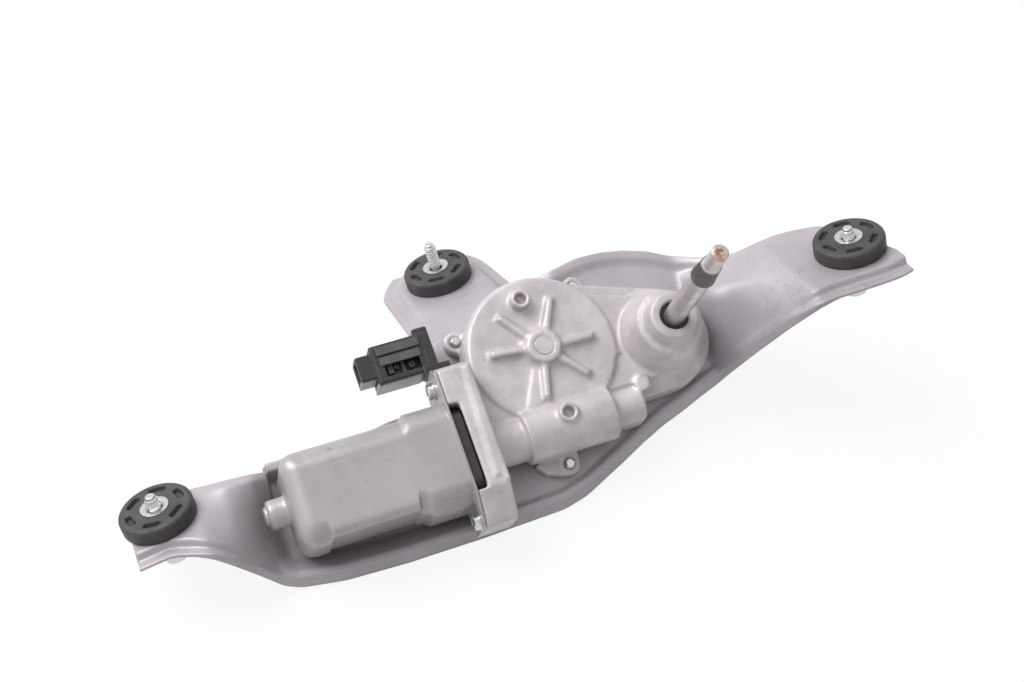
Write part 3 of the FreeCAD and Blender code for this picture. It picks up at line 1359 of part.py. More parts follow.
def make_linkage():
    """Lever on the spindle with its rivet, and below it the connecting rod on the crank pin."""
    eye = cell("eye_dia")
    fit = cell("running_fit") * 2
    bores = [(CRANK, cell("crank_pin_dia") + fit), (LEVER, cell("lever_pin_dia") + fit)]
    rod = link_plate("connecting_rod_body", CRANK, eye, LEVER, eye, rod_low, cell("rod_thick"), bores)
    finish(rod, "connecting_rod")
    bores = [(SPINDLE, cell("seat_dia")), (LEVER, cell("lever_pin_dia"))]
    hub = cell("collar_dia")
    thick = cell("lever_thick")
    lever = link_plate("spindle_lever_body", SPINDLE, hub, LEVER, eye, lever_low, thick, bores)
    finish(lever, "spindle_lever")
    head_r = cell("rivet_head_dia") / 2
    shank_r = cell("lever_pin_dia") / 2
    rivet = turned("lever_rivet_body", [
        (0, lever_low),
        (shank_r, lever_low),
        (shank_r, lever_high),
        (head_r, lever_high),
        (head_r, lever_high + cell("rivet_head")),
        (0, lever_high + cell("rivet_head")),
    ])
    finish(rivet, "lever_rivet", FreeCAD.Placement(vec(*LEVER, 0), FreeCAD.Rotation()))


# Output spindle and its bearings

def make_spindle():
    """Output spindle with its knurled taper and thread, bushes, seal, clip and washers."""
    r = cell("spindle_dia") / 2
    knurl_low = cell("knurl_start")
    knurl_high = knurl_low + cell("knurl_length")
    collar_top = lever_high + cell("collar_thick")
    tip = cell("spindle_reach")
    clip_low = -cell("seal_depth") - cell("seal_height") - cell("clip_thick") - 0.2
    groove = cell("spindle_dia") - 1.6
    body = turned("output_spindle_body", [
        (0, lever_low),
        (cell("seat_dia") / 2, lever_low),
        (cell("seat_dia") / 2, lever_high),
        (cell("collar_dia") / 2, lever_high),
        (cell("collar_dia") / 2, collar_top),
        (r, collar_top),
        (r, clip_low),
        (groove / 2, clip_low),
        (groove / 2, clip_low + cell("clip_thick")),
        (r, clip_low + cell("clip_thick")),
        (r, knurl_low - 1.0),
        (cell("knurl_dia") / 2, knurl_low),
        (cell("knurl_dia") / 2 - 0.9, knurl_high),
        (cell("stud_dia") / 2, knurl_high + 0.8),
        (cell("stud_dia") / 2, tip - 1.2),
        (cell("stud_dia") / 2 - 1.2, tip),
        (0, tip),
    ])
    finish(body, "output_spindle")
    bush_high = clip_low - 0.8
    upper = ring("upper_bush_ring", cell("bush_dia"), bush_bore, bush_high - cell("bush_length"), bush_high)
    finish(upper, "upper_bush")
    lower_low = -cell("skirt_depth") - cell("case_roof")
    lower_high = lower_low + cell("lower_bush_length")
    lower = ring("lower_bush_ring", cell("bush_dia"), bush_bore, lower_low, lower_high)
    finish(lower, "lower_bush")
    seal_high = -cell("seal_depth")
    seal_low = seal_high - cell("seal_height")
    seal = ring("spindle_seal_ring", cell("tower_mouth_dia"), bush_bore, seal_low, seal_high)
    finish(seal, "spindle_seal")
    clip_high = clip_low + cell("clip_thick")
    clip = ring("spindle_clip_ring", cell("spindle_dia") + 3.2, groove, clip_low, clip_high)
    mouth = box("spindle_clip_mouth", 10.0, groove * 0.8, 4.0, (0, -groove * 0.4, clip_low - 1.0))
    finish(cut("spindle_clip_cut", clip, mouth), "spindle_clip")
    washers = [
        ring("upper_washer", cell("tower_mouth_dia") - 0.6, bush_bore, bush_high, bush_high + 0.6),
        ring("lower_washer", cell("collar_dia") + 2.0, bush_bore, collar_top + 0.1, lower_low),
    ]
    finish(set_of("thrust_washer_set", washers), "thrust_washers")


# Connector and park contacts

# The connector's blocks and the rooms in them: name, sizes along X, Y and Z, low corner
CONNECTOR_BLOCKS = [
    ("main", (29.7, 19.0, 17.0), (-139.7, 14.3, -41.5)),
    ("snout", (9.0, 12.4, 13.0), (-147.2, 18.0, -38.5)),
    ("arm", (7.0, 23.4, 13.0), (-117.0, 12.7, -37.6)),
    ("rail", (21.0, 4.0, 1.4), (-137.0, 27.6, -24.6)),
]
CONNECTOR_ROOMS = [
    ("mouth", (14.0, 9.2, 8.0), (-148.2, 19.6, -35.5)),
    ("window", (20.0, 8.5, 5.0), (-135.0, 16.5, -28.5)),
]
# Terminals: how many, their height, and the start and length of each slot and of each pin along X
TERMINALS = 4
TERMINAL_Z = -32.4
PIN_SLOT_X = (-135.5, 24.0)
PIN_X = (-142.5, 31.0)


def make_connector():
    """Plug socket on an arm beside the can, its four pins, and the park contacts in the case."""
    outside = [box(f"connector_{name}", *size, at) for name, size, at in CONNECTOR_BLOCKS]
    tools = [box(f"connector_{name}", *size, at) for name, size, at in CONNECTOR_ROOMS]
    pins = []
    wide = cell("terminal_width")
    tall = cell("terminal_height")
    for i in range(TERMINALS):
        y = cell("terminal_first") + cell("terminal_pitch") * i
        slot_at = (PIN_SLOT_X[0], y, TERMINAL_Z)
        tools.append(box(f"connector_pin_slot_{i}", PIN_SLOT_X[1], wide, tall, slot_at))
        pins.append(box(f"connector_pin_{i}", PIN_X[1], wide, tall, (PIN_X[0], y, TERMINAL_Z)))
    solid = fuse("connector_outside", outside)
    tool = fuse("connector_rooms", tools)
    finish(cut("connector_cut", solid, tool), "connector_housing")
    finish(set_of("connector_pin_set", pins), "connector_terminals")


def make_park_contacts():
    """Contact plate under the case roof and its three spring fingers over the wheel's ring."""
    plate_z = roof_low - cell("contact_plate_thick")
    outer = cell("ring_track_dia") + 9.0
    plate = ring("park_plate_ring", outer, cell("hub_dia"), plate_z, roof_low)
    half = box("park_plate_keep", 80.0, 80.0, 8.0, (-80.0, -40.0, plate_z - 1.0))
    item = doc.addObject("Part::Common", "park_plate_common")
    item.Base = plate
    item.Tool = half
    case_place = FreeCAD.Placement(vec(*WHEEL, 0), FreeCAD.Rotation())
    finish(item, "park_contact_plate", case_place)
    finger_wide, finger_long, finger_thick = 1.6, 6.0, 0.4
    ring_top = wheel_high - cell("ring_drop") + cell("park_ring_thick")
    drop = plate_z - (ring_top + cell("slip_fit"))
    fingers = []
    for i, reach in enumerate((-2.0, 0.0, 2.0)):
        radius = cell("ring_track_dia") / 2 + reach
        x = -radius - finger_wide / 2
        finger_at = (x, -finger_long, plate_z - finger_thick)
        finger = box(f"park_finger_{i}", finger_wide, finger_long, finger_thick, finger_at)
        tip = box(f"park_finger_tip_{i}", finger_wide, 0.6, drop, (x, -finger_long, plate_z - drop))
        fingers.append(fuse(f"park_finger_all_{i}", [finger, tip]))
    finish(set_of("park_finger_set", fingers), "park_contacts", case_place)


# Rubber mounts

def grommet_profile():
    """Half section of a grommet about its axis; its zero height is the tab's upper face."""
    r = cell("grommet_dia") / 2
    foot = cell("grommet_foot_dia") / 2
    neck = cell("grommet_neck_dia") / 2
    bore = cell("sleeve_dia") / 2
    edge = cell("grommet_edge")
    top = cell("grommet_rise")
    low = -cell("sheet") - cell("grommet_drop")
    under = -cell("sheet")
    ring_r = cell("sleeve_ring_dia") / 2
    seat = top + cell("sleeve_proud") - cell("sleeve_ring_thick")
    return [
        (bore, low),
        (foot - edge, low),
        (foot, low + edge),
        (foot, under),
        (neck, under),
        (neck, 0),
        (r - edge * 0.5, 0),
        (r, edge * 0.5),
        (r, top - edge),
        (r - edge * 0.4, top - edge * 0.4),
        (r - edge, top),
        (ring_r, top),
        (ring_r, seat),
        (bore, seat),
    ]


# The rubber's curved slots: how many, the first one's angle, and each one's length as an angle
KIDNEYS = 6
KIDNEY_START = 15.0
KIDNEY_SPREAD = 22.0


def kidney(name, angle, radii, low):
    """A curved slot about Z between two radii, centred on an angle, open above its floor."""
    inner, outer = radii
    start = math.radians(angle - KIDNEY_SPREAD / 2)
    end = math.radians(angle + KIDNEY_SPREAD / 2)
    arcs = []
    for radius, first, last in ((outer, start, end), (inner, start, end)):
        arcs.append(Part.ArcOfCircle(Part.Circle(vec(0, 0, low), Z_AXIS, radius), first, last).toShape())
    caps = []
    for side, turn in ((start, 1), (end, -1)):
        ends = [vec(radius * math.cos(side), radius * math.sin(side), low) for radius in (inner, outer)]
        middle = (inner + outer) / 2
        bulge = side - turn * (outer - inner) / 2 / middle
        mid = vec(middle * math.cos(bulge), middle * math.sin(bulge), low)
        caps.append(Part.Arc(ends[0], mid, ends[1]).toShape())
    wire = Part.Wire(Part.__sortEdges__(arcs + caps))
    item = doc.addObject("Part::Feature", name)
    item.Shape = Part.Face(wire).extrude(Z_AXIS * num(cell("grommet_rise")))
    return item


def make_mounts():
    """The three rubber grommets, each with its steel sleeve and flange bolt."""
    top = cell("grommet_rise") + cell("sleeve_proud")
    low = -cell("sheet") - cell("grommet_drop") - cell("sleeve_proud")
    bolt_room = cell("bolt_dia") + cell("bolt_play") * 2
    for side in TAB_PLACES:
        rubber = turned(f"grommet_{side}_body", grommet_profile())
        slots = []
        inner = num(cell("sleeve_ring_dia")) / 2 + 3.9
        outer = num(cell("grommet_dia")) / 2 - 2.9
        slot_low = num(cell("grommet_rise") - cell("slot_depth"))
        for i in range(KIDNEYS):
            angle = 360.0 * i / KIDNEYS + KIDNEY_START
            slots.append(kidney(f"kidney_{side}_{i}", angle, (inner, outer), slot_low))
        tool = fuse(f"kidneys_{side}", slots)
        finish(cut(f"grommet_{side}_cut", rubber, tool), f"grommet_{side}", mount_place(side))
        sleeve = turned(f"sleeve_{side}_body", [
            (bolt_room / 2, low),
            (cell("sleeve_dia") / 2, low),
            (cell("sleeve_dia") / 2, top - cell("sleeve_ring_thick")),
            (cell("sleeve_ring_dia") / 2, top - cell("sleeve_ring_thick")),
            (cell("sleeve_ring_dia") / 2, top),
            (bolt_room / 2 + 1.2, top),
            (bolt_room / 2, top - 1.2),
        ])
        finish(sleeve, f"sleeve_{side}", mount_place(side))
        make_mount_bolt(side, low)


def make_mount_bolt(side, sleeve_low):
    """Flange bolt standing in the sleeve, slipped down by its own play."""
    slip = BOLT_SLIPS[side]
    under = sleeve_low - slip
    thick = cell("bolt_flange_thick")
    thread_high = under + cell("bolt_length") - cell("bolt_tip")
    shank = turned(f"bolt_{side}_shank", [
        (0, under - thick),
        (cell("bolt_flange_dia") / 2, under - thick),
        (cell("bolt_flange_dia") / 2, under - thick * 0.4),
        (cell("bolt_flange_dia") / 2 - 1.0, under),
        (cell("bolt_shank_dia") / 2, under),
        (cell("bolt_shank_dia") / 2, thread_high - cell("bolt_thread")),
        (cell("bolt_dia") / 2, thread_high - cell("bolt_thread")),
        (cell("bolt_dia") / 2, thread_high),
        (cell("bolt_dia") / 2 - 0.9, thread_high + 0.6),
        (cell("bolt_dia") / 2 - 0.9, thread_high + cell("bolt_tip")),
        (0, thread_high + cell("bolt_tip")),
    ])
    head = doc.addObject("Part::Prism", f"bolt_{side}_head")
    head.Polygon = 6
    bind(head, "Circumradius", cell("bolt_hex") / (2 * math.cos(math.pi / 6)))
    bind(head, "Height", cell("bolt_head"))
    spot(head, (0, 0, under - thick - cell("bolt_head")))
    finish(fuse(f"bolt_{side}_all", [shank, head]), f"bolt_{side}", mount_place(side))


def build_all():
    """Build every sub-part."""
    make_bracket()
    make_gear_housing()
    make_cover()
    make_housing_screws()
    make_can()
    make_can_screws()
    make_stator()
    make_armature()
    make_wheel()
    make_axle()
    make_linkage()
    make_spindle()
    make_connector()
    make_park_contacts()
    make_mounts()


def check(items):
    """Stop if any object of the document or any finished shape is unsound."""
    for item in doc.Objects:
        if "Invalid" in item.State or "Error" in item.State:
            raise RuntimeError(f"{item.Name} failed: {item.State}")
    for item in items:
        if item.Shape.isNull() or not item.Shape.isValid() or not item.Shape.Solids:
            raise RuntimeError(f"{item.Label} has no sound solid")


def export(items):
    """Write each finished sub-part to its own file."""
    os.makedirs("parts", exist_ok=True)
    for item in items:
        item.Shape.exportStep(os.path.join("parts", f"{item.Label}.step"))
        print(item.Label, len(item.Shape.Solids), round(item.Shape.Volume, 1))


build_all()
doc.recompute()
check(finished)
export(finished)
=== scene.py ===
"""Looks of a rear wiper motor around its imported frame: finishes, threads, knurl, light and camera.

Sizes are in millimetres in the gearbox's own axes (+Z up the output spindle, +X along the motor
shaft, origin on the spindle at the tower's face) until to_row turns them into the row frame.
"""

import json
import logging
import math
from dataclasses import dataclass
from enum import Enum
from typing import Callable, Optional, Sequence

import bmesh
import bpy
import numpy as np
from mathutils import Matrix, Vector


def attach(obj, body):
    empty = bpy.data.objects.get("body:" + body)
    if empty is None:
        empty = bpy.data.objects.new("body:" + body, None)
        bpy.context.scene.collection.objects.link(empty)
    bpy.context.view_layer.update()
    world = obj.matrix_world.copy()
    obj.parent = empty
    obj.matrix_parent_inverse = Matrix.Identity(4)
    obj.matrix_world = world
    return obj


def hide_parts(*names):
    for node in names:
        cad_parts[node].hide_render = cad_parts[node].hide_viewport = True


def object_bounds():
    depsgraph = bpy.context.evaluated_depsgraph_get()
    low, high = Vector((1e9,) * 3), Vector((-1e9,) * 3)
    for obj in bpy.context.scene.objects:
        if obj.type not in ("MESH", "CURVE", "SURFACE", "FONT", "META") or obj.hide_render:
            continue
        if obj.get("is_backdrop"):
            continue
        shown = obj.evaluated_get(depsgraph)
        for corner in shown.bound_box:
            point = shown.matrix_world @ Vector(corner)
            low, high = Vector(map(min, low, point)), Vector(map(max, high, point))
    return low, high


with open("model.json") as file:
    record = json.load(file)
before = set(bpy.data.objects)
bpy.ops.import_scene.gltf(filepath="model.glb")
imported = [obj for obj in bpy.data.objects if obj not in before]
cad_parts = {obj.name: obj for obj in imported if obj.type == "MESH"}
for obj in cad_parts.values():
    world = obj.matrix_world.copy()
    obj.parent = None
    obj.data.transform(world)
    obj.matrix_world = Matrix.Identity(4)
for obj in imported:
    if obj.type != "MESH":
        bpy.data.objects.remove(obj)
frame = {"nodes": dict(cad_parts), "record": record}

log = logging.getLogger("wiper_motor")

MM = 0.001
REST_TILT = math.radians(20.0)
MERGE_WITHIN = 1e-6
BEND_LIMIT = 0.45
BEVEL_ANGLE = math.radians(30.0)
FULL_TURN = 2.0 * math.pi
SHAFT_Y = -28.475
OPAQUE = 1.0
WHITE = (1.0, 1.0, 1.0, OPAQUE)


def to_row(points: np.ndarray) -> np.ndarray:
    """Turn points from the gearbox's axes to the row frame.

    Formula: y' = y cos t - z sin t and z' = y sin t + z cos t with t the rest tilt, then mm to m.

    Args:
        points: Array of points in millimetres, its last axis holding x, y, z.

    Returns:
        The same points in the row frame, in metres.
    """
    cos, sin = math.cos(REST_TILT), math.sin(REST_TILT)
    turn = np.array([[1.0, 0.0, 0.0], [0.0, cos, -sin], [0.0, sin, cos]])
    return points @ turn.T * MM


@dataclass(frozen=True)
class Place:
    """A local frame in the row frame: where a turned piece stands and which way it points."""

    origin: Vector
    up: Vector

    def carry(self, points: np.ndarray) -> np.ndarray:
        """Carry local points in millimetres, with Z along the piece, to the row frame in metres.

        Args:
            points: Array of local points.

        Returns:
            The points in the row frame, in metres.
        """
        turn = np.array(Vector((0, 0, 1)).rotation_difference(self.up).to_matrix())
        return points @ turn.T * MM + np.array(self.origin)


def work_place(x: float, y: float, z: float, direction: Sequence[float] = (0, 0, 1)) -> Place:
    """A place given in the gearbox's axes.

    Args:
        x: Place along the motor shaft, in millimetres.
        y: Place across, in millimetres.
        z: Place along the spindle, in millimetres.
        direction: The way that the local Z points.

    Returns:
        The place in the row frame.
    """
    origin = to_row(np.array([x, y, z], dtype=float))
    up = to_row(np.array(direction, dtype=float)) / MM
    return Place(Vector(origin), Vector(up).normalized())


def grid_mesh(name: str, points: np.ndarray, wrap: bool = True, sharp_deg: float = 35.0) -> bpy.types.Object:
    """Put a grid of points into a smooth mesh object, as quads between neighbours.

    Args:
        name: Name of the new object.
        points: Grid of points in the row frame, in metres, rows first.
        wrap: Whether the last column joins the first and the surface is closed.
        sharp_deg: Edges bent by more than this stay sharp.

    Returns:
        The new object, at the origin.
    """
    rows, columns = points.shape[:2]
    index = np.arange(rows * columns).reshape(rows, columns)
    after = np.roll(index, -1, axis=1)
    if not wrap:
        index, after = index[:, :-1], after[:, :-1]
    quads = np.stack([index[:-1], after[:-1], after[1:], index[1:]], axis=-1).reshape(-1, 4)
    mesh = bpy.data.meshes.new(name)
    mesh.from_pydata(points.reshape(-1, 3).tolist(), [], quads.tolist())
    close_mesh(mesh, sharp_deg, closed=wrap)
    return link(bpy.data.objects.new(name, mesh))


def close_mesh(mesh: bpy.types.Mesh, sharp_deg: float, closed: bool = True) -> None:
    """Merge a mesh's doubles, close its poles, point its faces outwards and shade it by angle.

    Args:
        mesh: The mesh that is changed in place.
        sharp_deg: Edges bent by more than this stay sharp.
        closed: Whether the surface has an inside, so that its normals can be worked out again.
    """
    work = bmesh.new()
    work.from_mesh(mesh)
    bmesh.ops.remove_doubles(work, verts=work.verts, dist=MERGE_WITHIN)
    bmesh.ops.dissolve_degenerate(work, edges=work.edges, dist=MERGE_WITHIN)
    if closed:
        bmesh.ops.recalc_face_normals(work, faces=work.faces)
    work.to_mesh(mesh)
    work.free()
    mesh.shade_smooth()
    mesh.set_sharp_from_angle(angle=math.radians(sharp_deg))


def link(piece: bpy.types.Object) -> bpy.types.Object:
    """Link an object to the scene and return it."""
    bpy.context.scene.collection.objects.link(piece)
    return piece


def joined(name: str, pieces: Sequence[bpy.types.Object]) -> bpy.types.Object:
    """Join mesh objects into the first one and name it.

    Args:
        name: Name of the joined object.
        pieces: The objects, all at the origin.

    Returns:
        The joined object.
    """
    with bpy.context.temp_override(active_object=pieces[0], selected_editable_objects=list(pieces)):
        bpy.ops.object.join()
    pieces[0].name = name
    return pieces[0]


Ripple = Callable[[np.ndarray, np.ndarray, np.ndarray], np.ndarray]
Profile = Sequence[tuple[float, float]]


def turned_grid(profile: np.ndarray, columns: int, ripple: Optional[Ripple] = None) -> np.ndarray:
    """A surface turned about Z: x = r cos a, y = r sin a, z = h, with r changed by a ripple.

    Args:
        profile: Rows of (radius, height) in millimetres.
        columns: How many steps go round.
        ripple: Function of radius, height and angle grids that gives the changed radius.

    Returns:
        Grid of local points in millimetres.
    """
    angle = np.linspace(0.0, FULL_TURN, columns, endpoint=False)[None, :]
    radius = np.repeat(profile[:, :1], columns, axis=1)
    height = np.repeat(profile[:, 1:2], columns, axis=1)
    angle = np.repeat(angle, len(profile), axis=0)
    if ripple is not None:
        radius = ripple(radius, height, angle)
    return np.stack([radius * np.cos(angle), radius * np.sin(angle), height], axis=-1)


def turned(name: str, place: Place, profile: np.ndarray, columns: int, ripple: Optional[Ripple] = None,
           sharp_deg: float = 35.0) -> bpy.types.Object:
    """A mesh object turned about the axis of a place, from the same values as turned_grid and grid_mesh."""
    return grid_mesh(name, place.carry(turned_grid(profile, columns, ripple)), sharp_deg=sharp_deg)


def filled(profile: Sequence[Sequence[float]], step: float) -> np.ndarray:
    """Sample a profile's straight runs at a step, keeping every corner.

    Args:
        profile: Corners as (radius, height).
        step: Largest distance between two samples, in millimetres.

    Returns:
        Array of (radius, height) rows.
    """
    corners = np.array(profile, dtype=float)
    runs = [corners[:1]]
    for start, end in zip(corners[:-1], corners[1:]):
        count = max(1, int(math.ceil(np.linalg.norm(end - start) / step)))
        share = np.linspace(0.0, 1.0, count + 1)[1:, None]
        runs.append(start + (end - start) * share)
    return np.concatenate(runs)


def smooth_step(value: np.ndarray, low: float, high: float) -> np.ndarray:
    """Ease from 0 at low to 1 at high: t t (3 - 2 t) with t the clipped share."""
    share = np.clip((value - low) / (high - low), 0.0, 1.0)
    return share * share * (3.0 - 2.0 * share)


def eased(at: np.ndarray, known: np.ndarray, values: np.ndarray, ranges: Sequence[tuple[float, float]],
          spread: float = 1.6, step: float = 0.5) -> np.ndarray:
    """Values between stations, with the corners at the stations blended by a Gaussian.

    Formula: straight lines between the stations, convolved with exp(-x x / (2 spread spread))
    inside each range, mirrored through the range's ends so that these stay where they are.

    Args:
        at: Places where the values are wanted.
        known: Places of the stations.
        values: Values at the stations.
        ranges: Runs that are blended apart from each other, as (low, high).
        spread: Reach of the blend, in millimetres.
        step: Sampling of the blend, in millimetres.

    Returns:
        The blended values.
    """
    reach = int(3 * spread / step)
    kernel = np.exp(-0.5 * (np.arange(-reach, reach + 1) * step / spread) ** 2)
    kernel /= kernel.sum()
    places, results = [], []
    for low, high in ranges:
        fine = np.linspace(low, high, int(round((high - low) / step)) + 1)
        run = np.interp(fine, known, values)
        before = 2.0 * run[0] - run[reach:0:-1]
        after = 2.0 * run[-1] - run[-2:-reach - 2:-1]
        soft = np.convolve(np.concatenate([before, run, after]), kernel, mode="valid")
        places.append(fine)
        results.append(soft)
    return np.interp(at, np.concatenate(places), np.concatenate(results))


def bent(corners: np.ndarray, radii: Sequence[float], round_steps: int = 5,
         run_steps: int = 4) -> np.ndarray:
    """Press bends along each row of corners: a quadratic curve from a setback before each one to one after.

    Formula: (1-t)(1-t) A + 2 t (1-t) P + t t B, with A and B on the two straights beside corner P.

    Args:
        corners: Grid of corner points, rows first.
        radii: Setback at each inner corner, held under BEND_LIMIT of the shorter straight.
        round_steps: Steps round a bend.
        run_steps: Steps along a straight.

    Returns:
        The finer grid of points.
    """
    share = np.linspace(0.0, 1.0, round_steps + 1)[None, :, None]
    runs = [corners[:, :1]]
    for i, radius in enumerate(radii, start=1):
        here = corners[:, i:i + 1]
        sides = []
        for other in (corners[:, i - 1:i], corners[:, i + 1:i + 2]):
            length = np.linalg.norm(other - here, axis=2, keepdims=True)
            sides.append(here + (other - here) / length * np.minimum(radius, BEND_LIMIT * length))
        curve = (1 - share) ** 2 * sides[0] + 2 * share * (1 - share) * here + share ** 2 * sides[1]
        gap = np.linspace(0.0, 1.0, run_steps + 1)[None, 1:-1, None]
        last = runs[-1][:, -1:]
        runs += [last + (curve[:, :1] - last) * gap, curve]
    runs.append(corners[:, -1:])
    return np.concatenate(runs, axis=1)


def prism(outline: Sequence[tuple[float, float]], low: float, high: float) -> np.ndarray:
    """A closed wall round an outline, from a point in its middle over both rims to the middle again.

    Args:
        outline: Corners as (y, z).
        low: Lowest x.
        high: Highest x.

    Returns:
        Grid of points in the gearbox's axes, with four rows of corners and two poles.
    """
    edge = np.array(outline, dtype=float)
    middle = np.repeat(edge.mean(axis=0, keepdims=True), len(edge), axis=0)
    rows = [(low, middle), (low, edge), (high, edge), (high, middle)]
    return np.stack([np.column_stack([np.full(len(edge), x), ring]) for x, ring in rows])


def slab(low: Sequence[float], high: Sequence[float]) -> np.ndarray:
    """The prism of a block between two corners, in the gearbox's axes."""
    (x0, y0, z0), (x1, y1, z1) = low, high
    return prism([(y0, z0), (y1, z0), (y1, z1), (y0, z1)], x0, x1)


def soften(piece: bpy.types.Object, width: float, segments: int = 3) -> bpy.types.Object:
    """Round a piece's sharp edges with a bevel, in millimetres, and let its large faces lead the shading."""
    bevel = piece.modifiers.new("soft_edges", "BEVEL")
    bevel.width = width * MM
    bevel.segments = segments
    bevel.limit_method = "ANGLE"
    bevel.angle_limit = BEVEL_ANGLE
    weighted = piece.modifiers.new("face_weight", "WEIGHTED_NORMAL")
    weighted.keep_sharp = True
    weighted.weight = 100
    return piece


@dataclass(frozen=True)
class Thread:
    """A rolled screw thread between two heights: depth times a sawtooth of height less turn."""

    low: float
    high: float
    pitch: float
    depth: float

    def ripple(self, radius: np.ndarray, height: np.ndarray, angle: np.ndarray) -> np.ndarray:
        """Cut the thread: r - depth * |2 frac(h / pitch - a / 2 pi) - 1|, faded at both ends.

        Args:
            radius: Grid of radii.
            height: Grid of heights.
            angle: Grid of angles.

        Returns:
            The cut radii.
        """
        phase = height / self.pitch - angle / FULL_TURN
        wave = np.abs(2.0 * (phase - np.floor(phase)) - 1.0)
        fade_in = np.clip((height - self.low) / self.pitch, 0.0, 1.0)
        fade_out = np.clip((self.high - height) / self.pitch, 0.0, 1.0)
        return radius - self.depth * wave * np.minimum(fade_in, fade_out)


class Coat(Enum):
    """The finishes of the part, by the slot of the record that each dresses."""

    BRACKET = "bracket_steel"
    CASTING = "cast_aluminium"
    CAN = "can_steel"
    ZINC = "zinc_steel"
    GROUND = "ground_steel"
    RUBBER = "mount_rubber"
    SEAL = "seal_rubber"
    BLACK = "black_plastic"
    HOLDER = "brush_holder_plastic"
    ACETAL = "wheel_plastic"
    BRASS = "tinned_brass"
    COPPER = "copper"
    BRONZE = "bronze"
    FERRITE = "ferrite"
    IRON = "core_iron"
    CARBON = "carbon"


Socket = bpy.types.NodeSocket


class Wiring:
    """Short hand for adding and linking nodes in one tree."""

    def __init__(self, tree: bpy.types.NodeTree) -> None:
        """Keep the tree."""
        self.tree = tree

    def add(self, kind: str, inputs: Optional[dict] = None, **settings: object) -> bpy.types.Node:
        """Add a node.

        Args:
            kind: The node's type without its ShaderNode prefix.
            inputs: Values or sockets for the node's inputs, by name or number.
            settings: Properties of the node.

        Returns:
            The node.
        """
        node = self.tree.nodes.new(f"ShaderNode{kind}")
        for name, value in settings.items():
            setattr(node, name, value)
        for key, value in (inputs or {}).items():
            self.feed(node.inputs[key], value)
        return node

    def feed(self, target: bpy.types.NodeSocket, value: object) -> None:
        """Link a socket to an input, or set the input's own value."""
        if isinstance(value, bpy.types.NodeSocket):
            self.tree.links.new(value, target)
        else:
            target.default_value = value

    def noise(self, where: Socket, scale: object, detail: float = 3.0, rough: float = 0.5) -> Socket:
        """A noise texture's value at a place."""
        node = self.add("TexNoise", {"Vector": where, "Scale": scale, "Detail": detail, "Roughness": rough})
        return node.outputs["Fac"]

    def spread(self, value: Socket, low: float, high: float, to_low: float = 0.0,
               to_high: float = 1.0) -> Socket:
        """A value mapped from one range to another, held inside it."""
        ends = {"From Min": low, "From Max": high, "To Min": to_low, "To Max": to_high}
        return self.add("MapRange", {"Value": value, **ends}).outputs["Result"]

    def reckon(self, kind: str, first: object, second: object = 0.0) -> Socket:
        """One step of arithmetic on two values."""
        return self.add("Math", {0: first, 1: second}, operation=kind).outputs[0]

    def times(self, *factors: object) -> Socket:
        """The product of two or more values."""
        product = factors[0]
        for factor in factors[1:]:
            product = self.reckon("MULTIPLY", product, factor)
        return product

    def dot(self, first: object, second: object) -> Socket:
        """The dot product of two vectors."""
        return self.add("VectorMath", {0: first, 1: second}, operation="DOT_PRODUCT").outputs["Value"]

    def mix(self, share: object, first: object, second: object) -> Socket:
        """Two colours mixed by a share; the colour sockets of the node are numbers 6, 7 and 2."""
        return self.add("Mix", {0: share, 6: first, 7: second}, data_type="RGBA").outputs[2]


def rgba(colour: Sequence[float]) -> tuple[float, float, float, float]:
    """A colour with full alpha."""
    return (*colour, OPAQUE)


def new_group(name: str, inputs: dict[str, float], outputs: dict[str, str]) -> tuple[Wiring, object, object]:
    """Start a node group.

    Args:
        name: The group's name.
        inputs: Its number inputs and their defaults.
        outputs: Its outputs and their kinds.

    Returns:
        The group's wiring, the sockets that it is given and the sockets that it fills.
    """
    group = bpy.data.node_groups.new(name, "ShaderNodeTree")
    for label, value in inputs.items():
        made = group.interface.new_socket(name=label, in_out="INPUT", socket_type="NodeSocketFloat")
        made.default_value = value
    for label, kind in outputs.items():
        group.interface.new_socket(name=label, in_out="OUTPUT", socket_type=f"NodeSocket{kind}")
    given = group.nodes.new("NodeGroupInput").outputs
    return Wiring(group), given, group.nodes.new("NodeGroupOutput").inputs


def grain_group() -> bpy.types.NodeTree:
    """Grain of a surface: fine height noise, a blotchy tone and specks, from Object coordinates.

    Returns:
        The group, with scales per metre as inputs, and outputs Height, Tone and Specks, from 0 to 1.
    """
    scales = {"Grain Scale": 1800.0, "Blotch Scale": 40.0, "Speck Scale": 600.0}
    outputs = dict.fromkeys(("Height", "Tone", "Specks"), "Float")
    wire, given, out = new_group("surface_grain", scales, outputs)
    where = wire.add("TexCoord").outputs["Object"]
    wire.feed(out["Height"], wire.noise(where, given["Grain Scale"], 4.0, 0.6))
    wire.feed(out["Tone"], wire.spread(wire.noise(where, given["Blotch Scale"], 5.0, 0.62), 0.32, 0.68))
    wire.feed(out["Specks"], wire.spread(wire.noise(where, given["Speck Scale"], 2.0), 0.66, 0.74))
    return wire.tree


def edge_group() -> bpy.types.NodeTree:
    """Rounded normals at edges, and a mask where the rounded normal leaves the face's own.

    Returns:
        The group, with input Radius in metres and outputs Normal and Edge.
    """
    wire, given, out = new_group("soft_edge", {"Radius": 0.0006}, {"Normal": "Vector", "Edge": "Float"})
    rounded = wire.add("Bevel", {"Radius": given["Radius"]}, samples=6).outputs[0]
    own = wire.add("NewGeometry").outputs["Normal"]
    wire.feed(out["Normal"], rounded)
    wire.feed(out["Edge"], wire.spread(wire.dot(rounded, own), 0.995, 0.80))
    return wire.tree


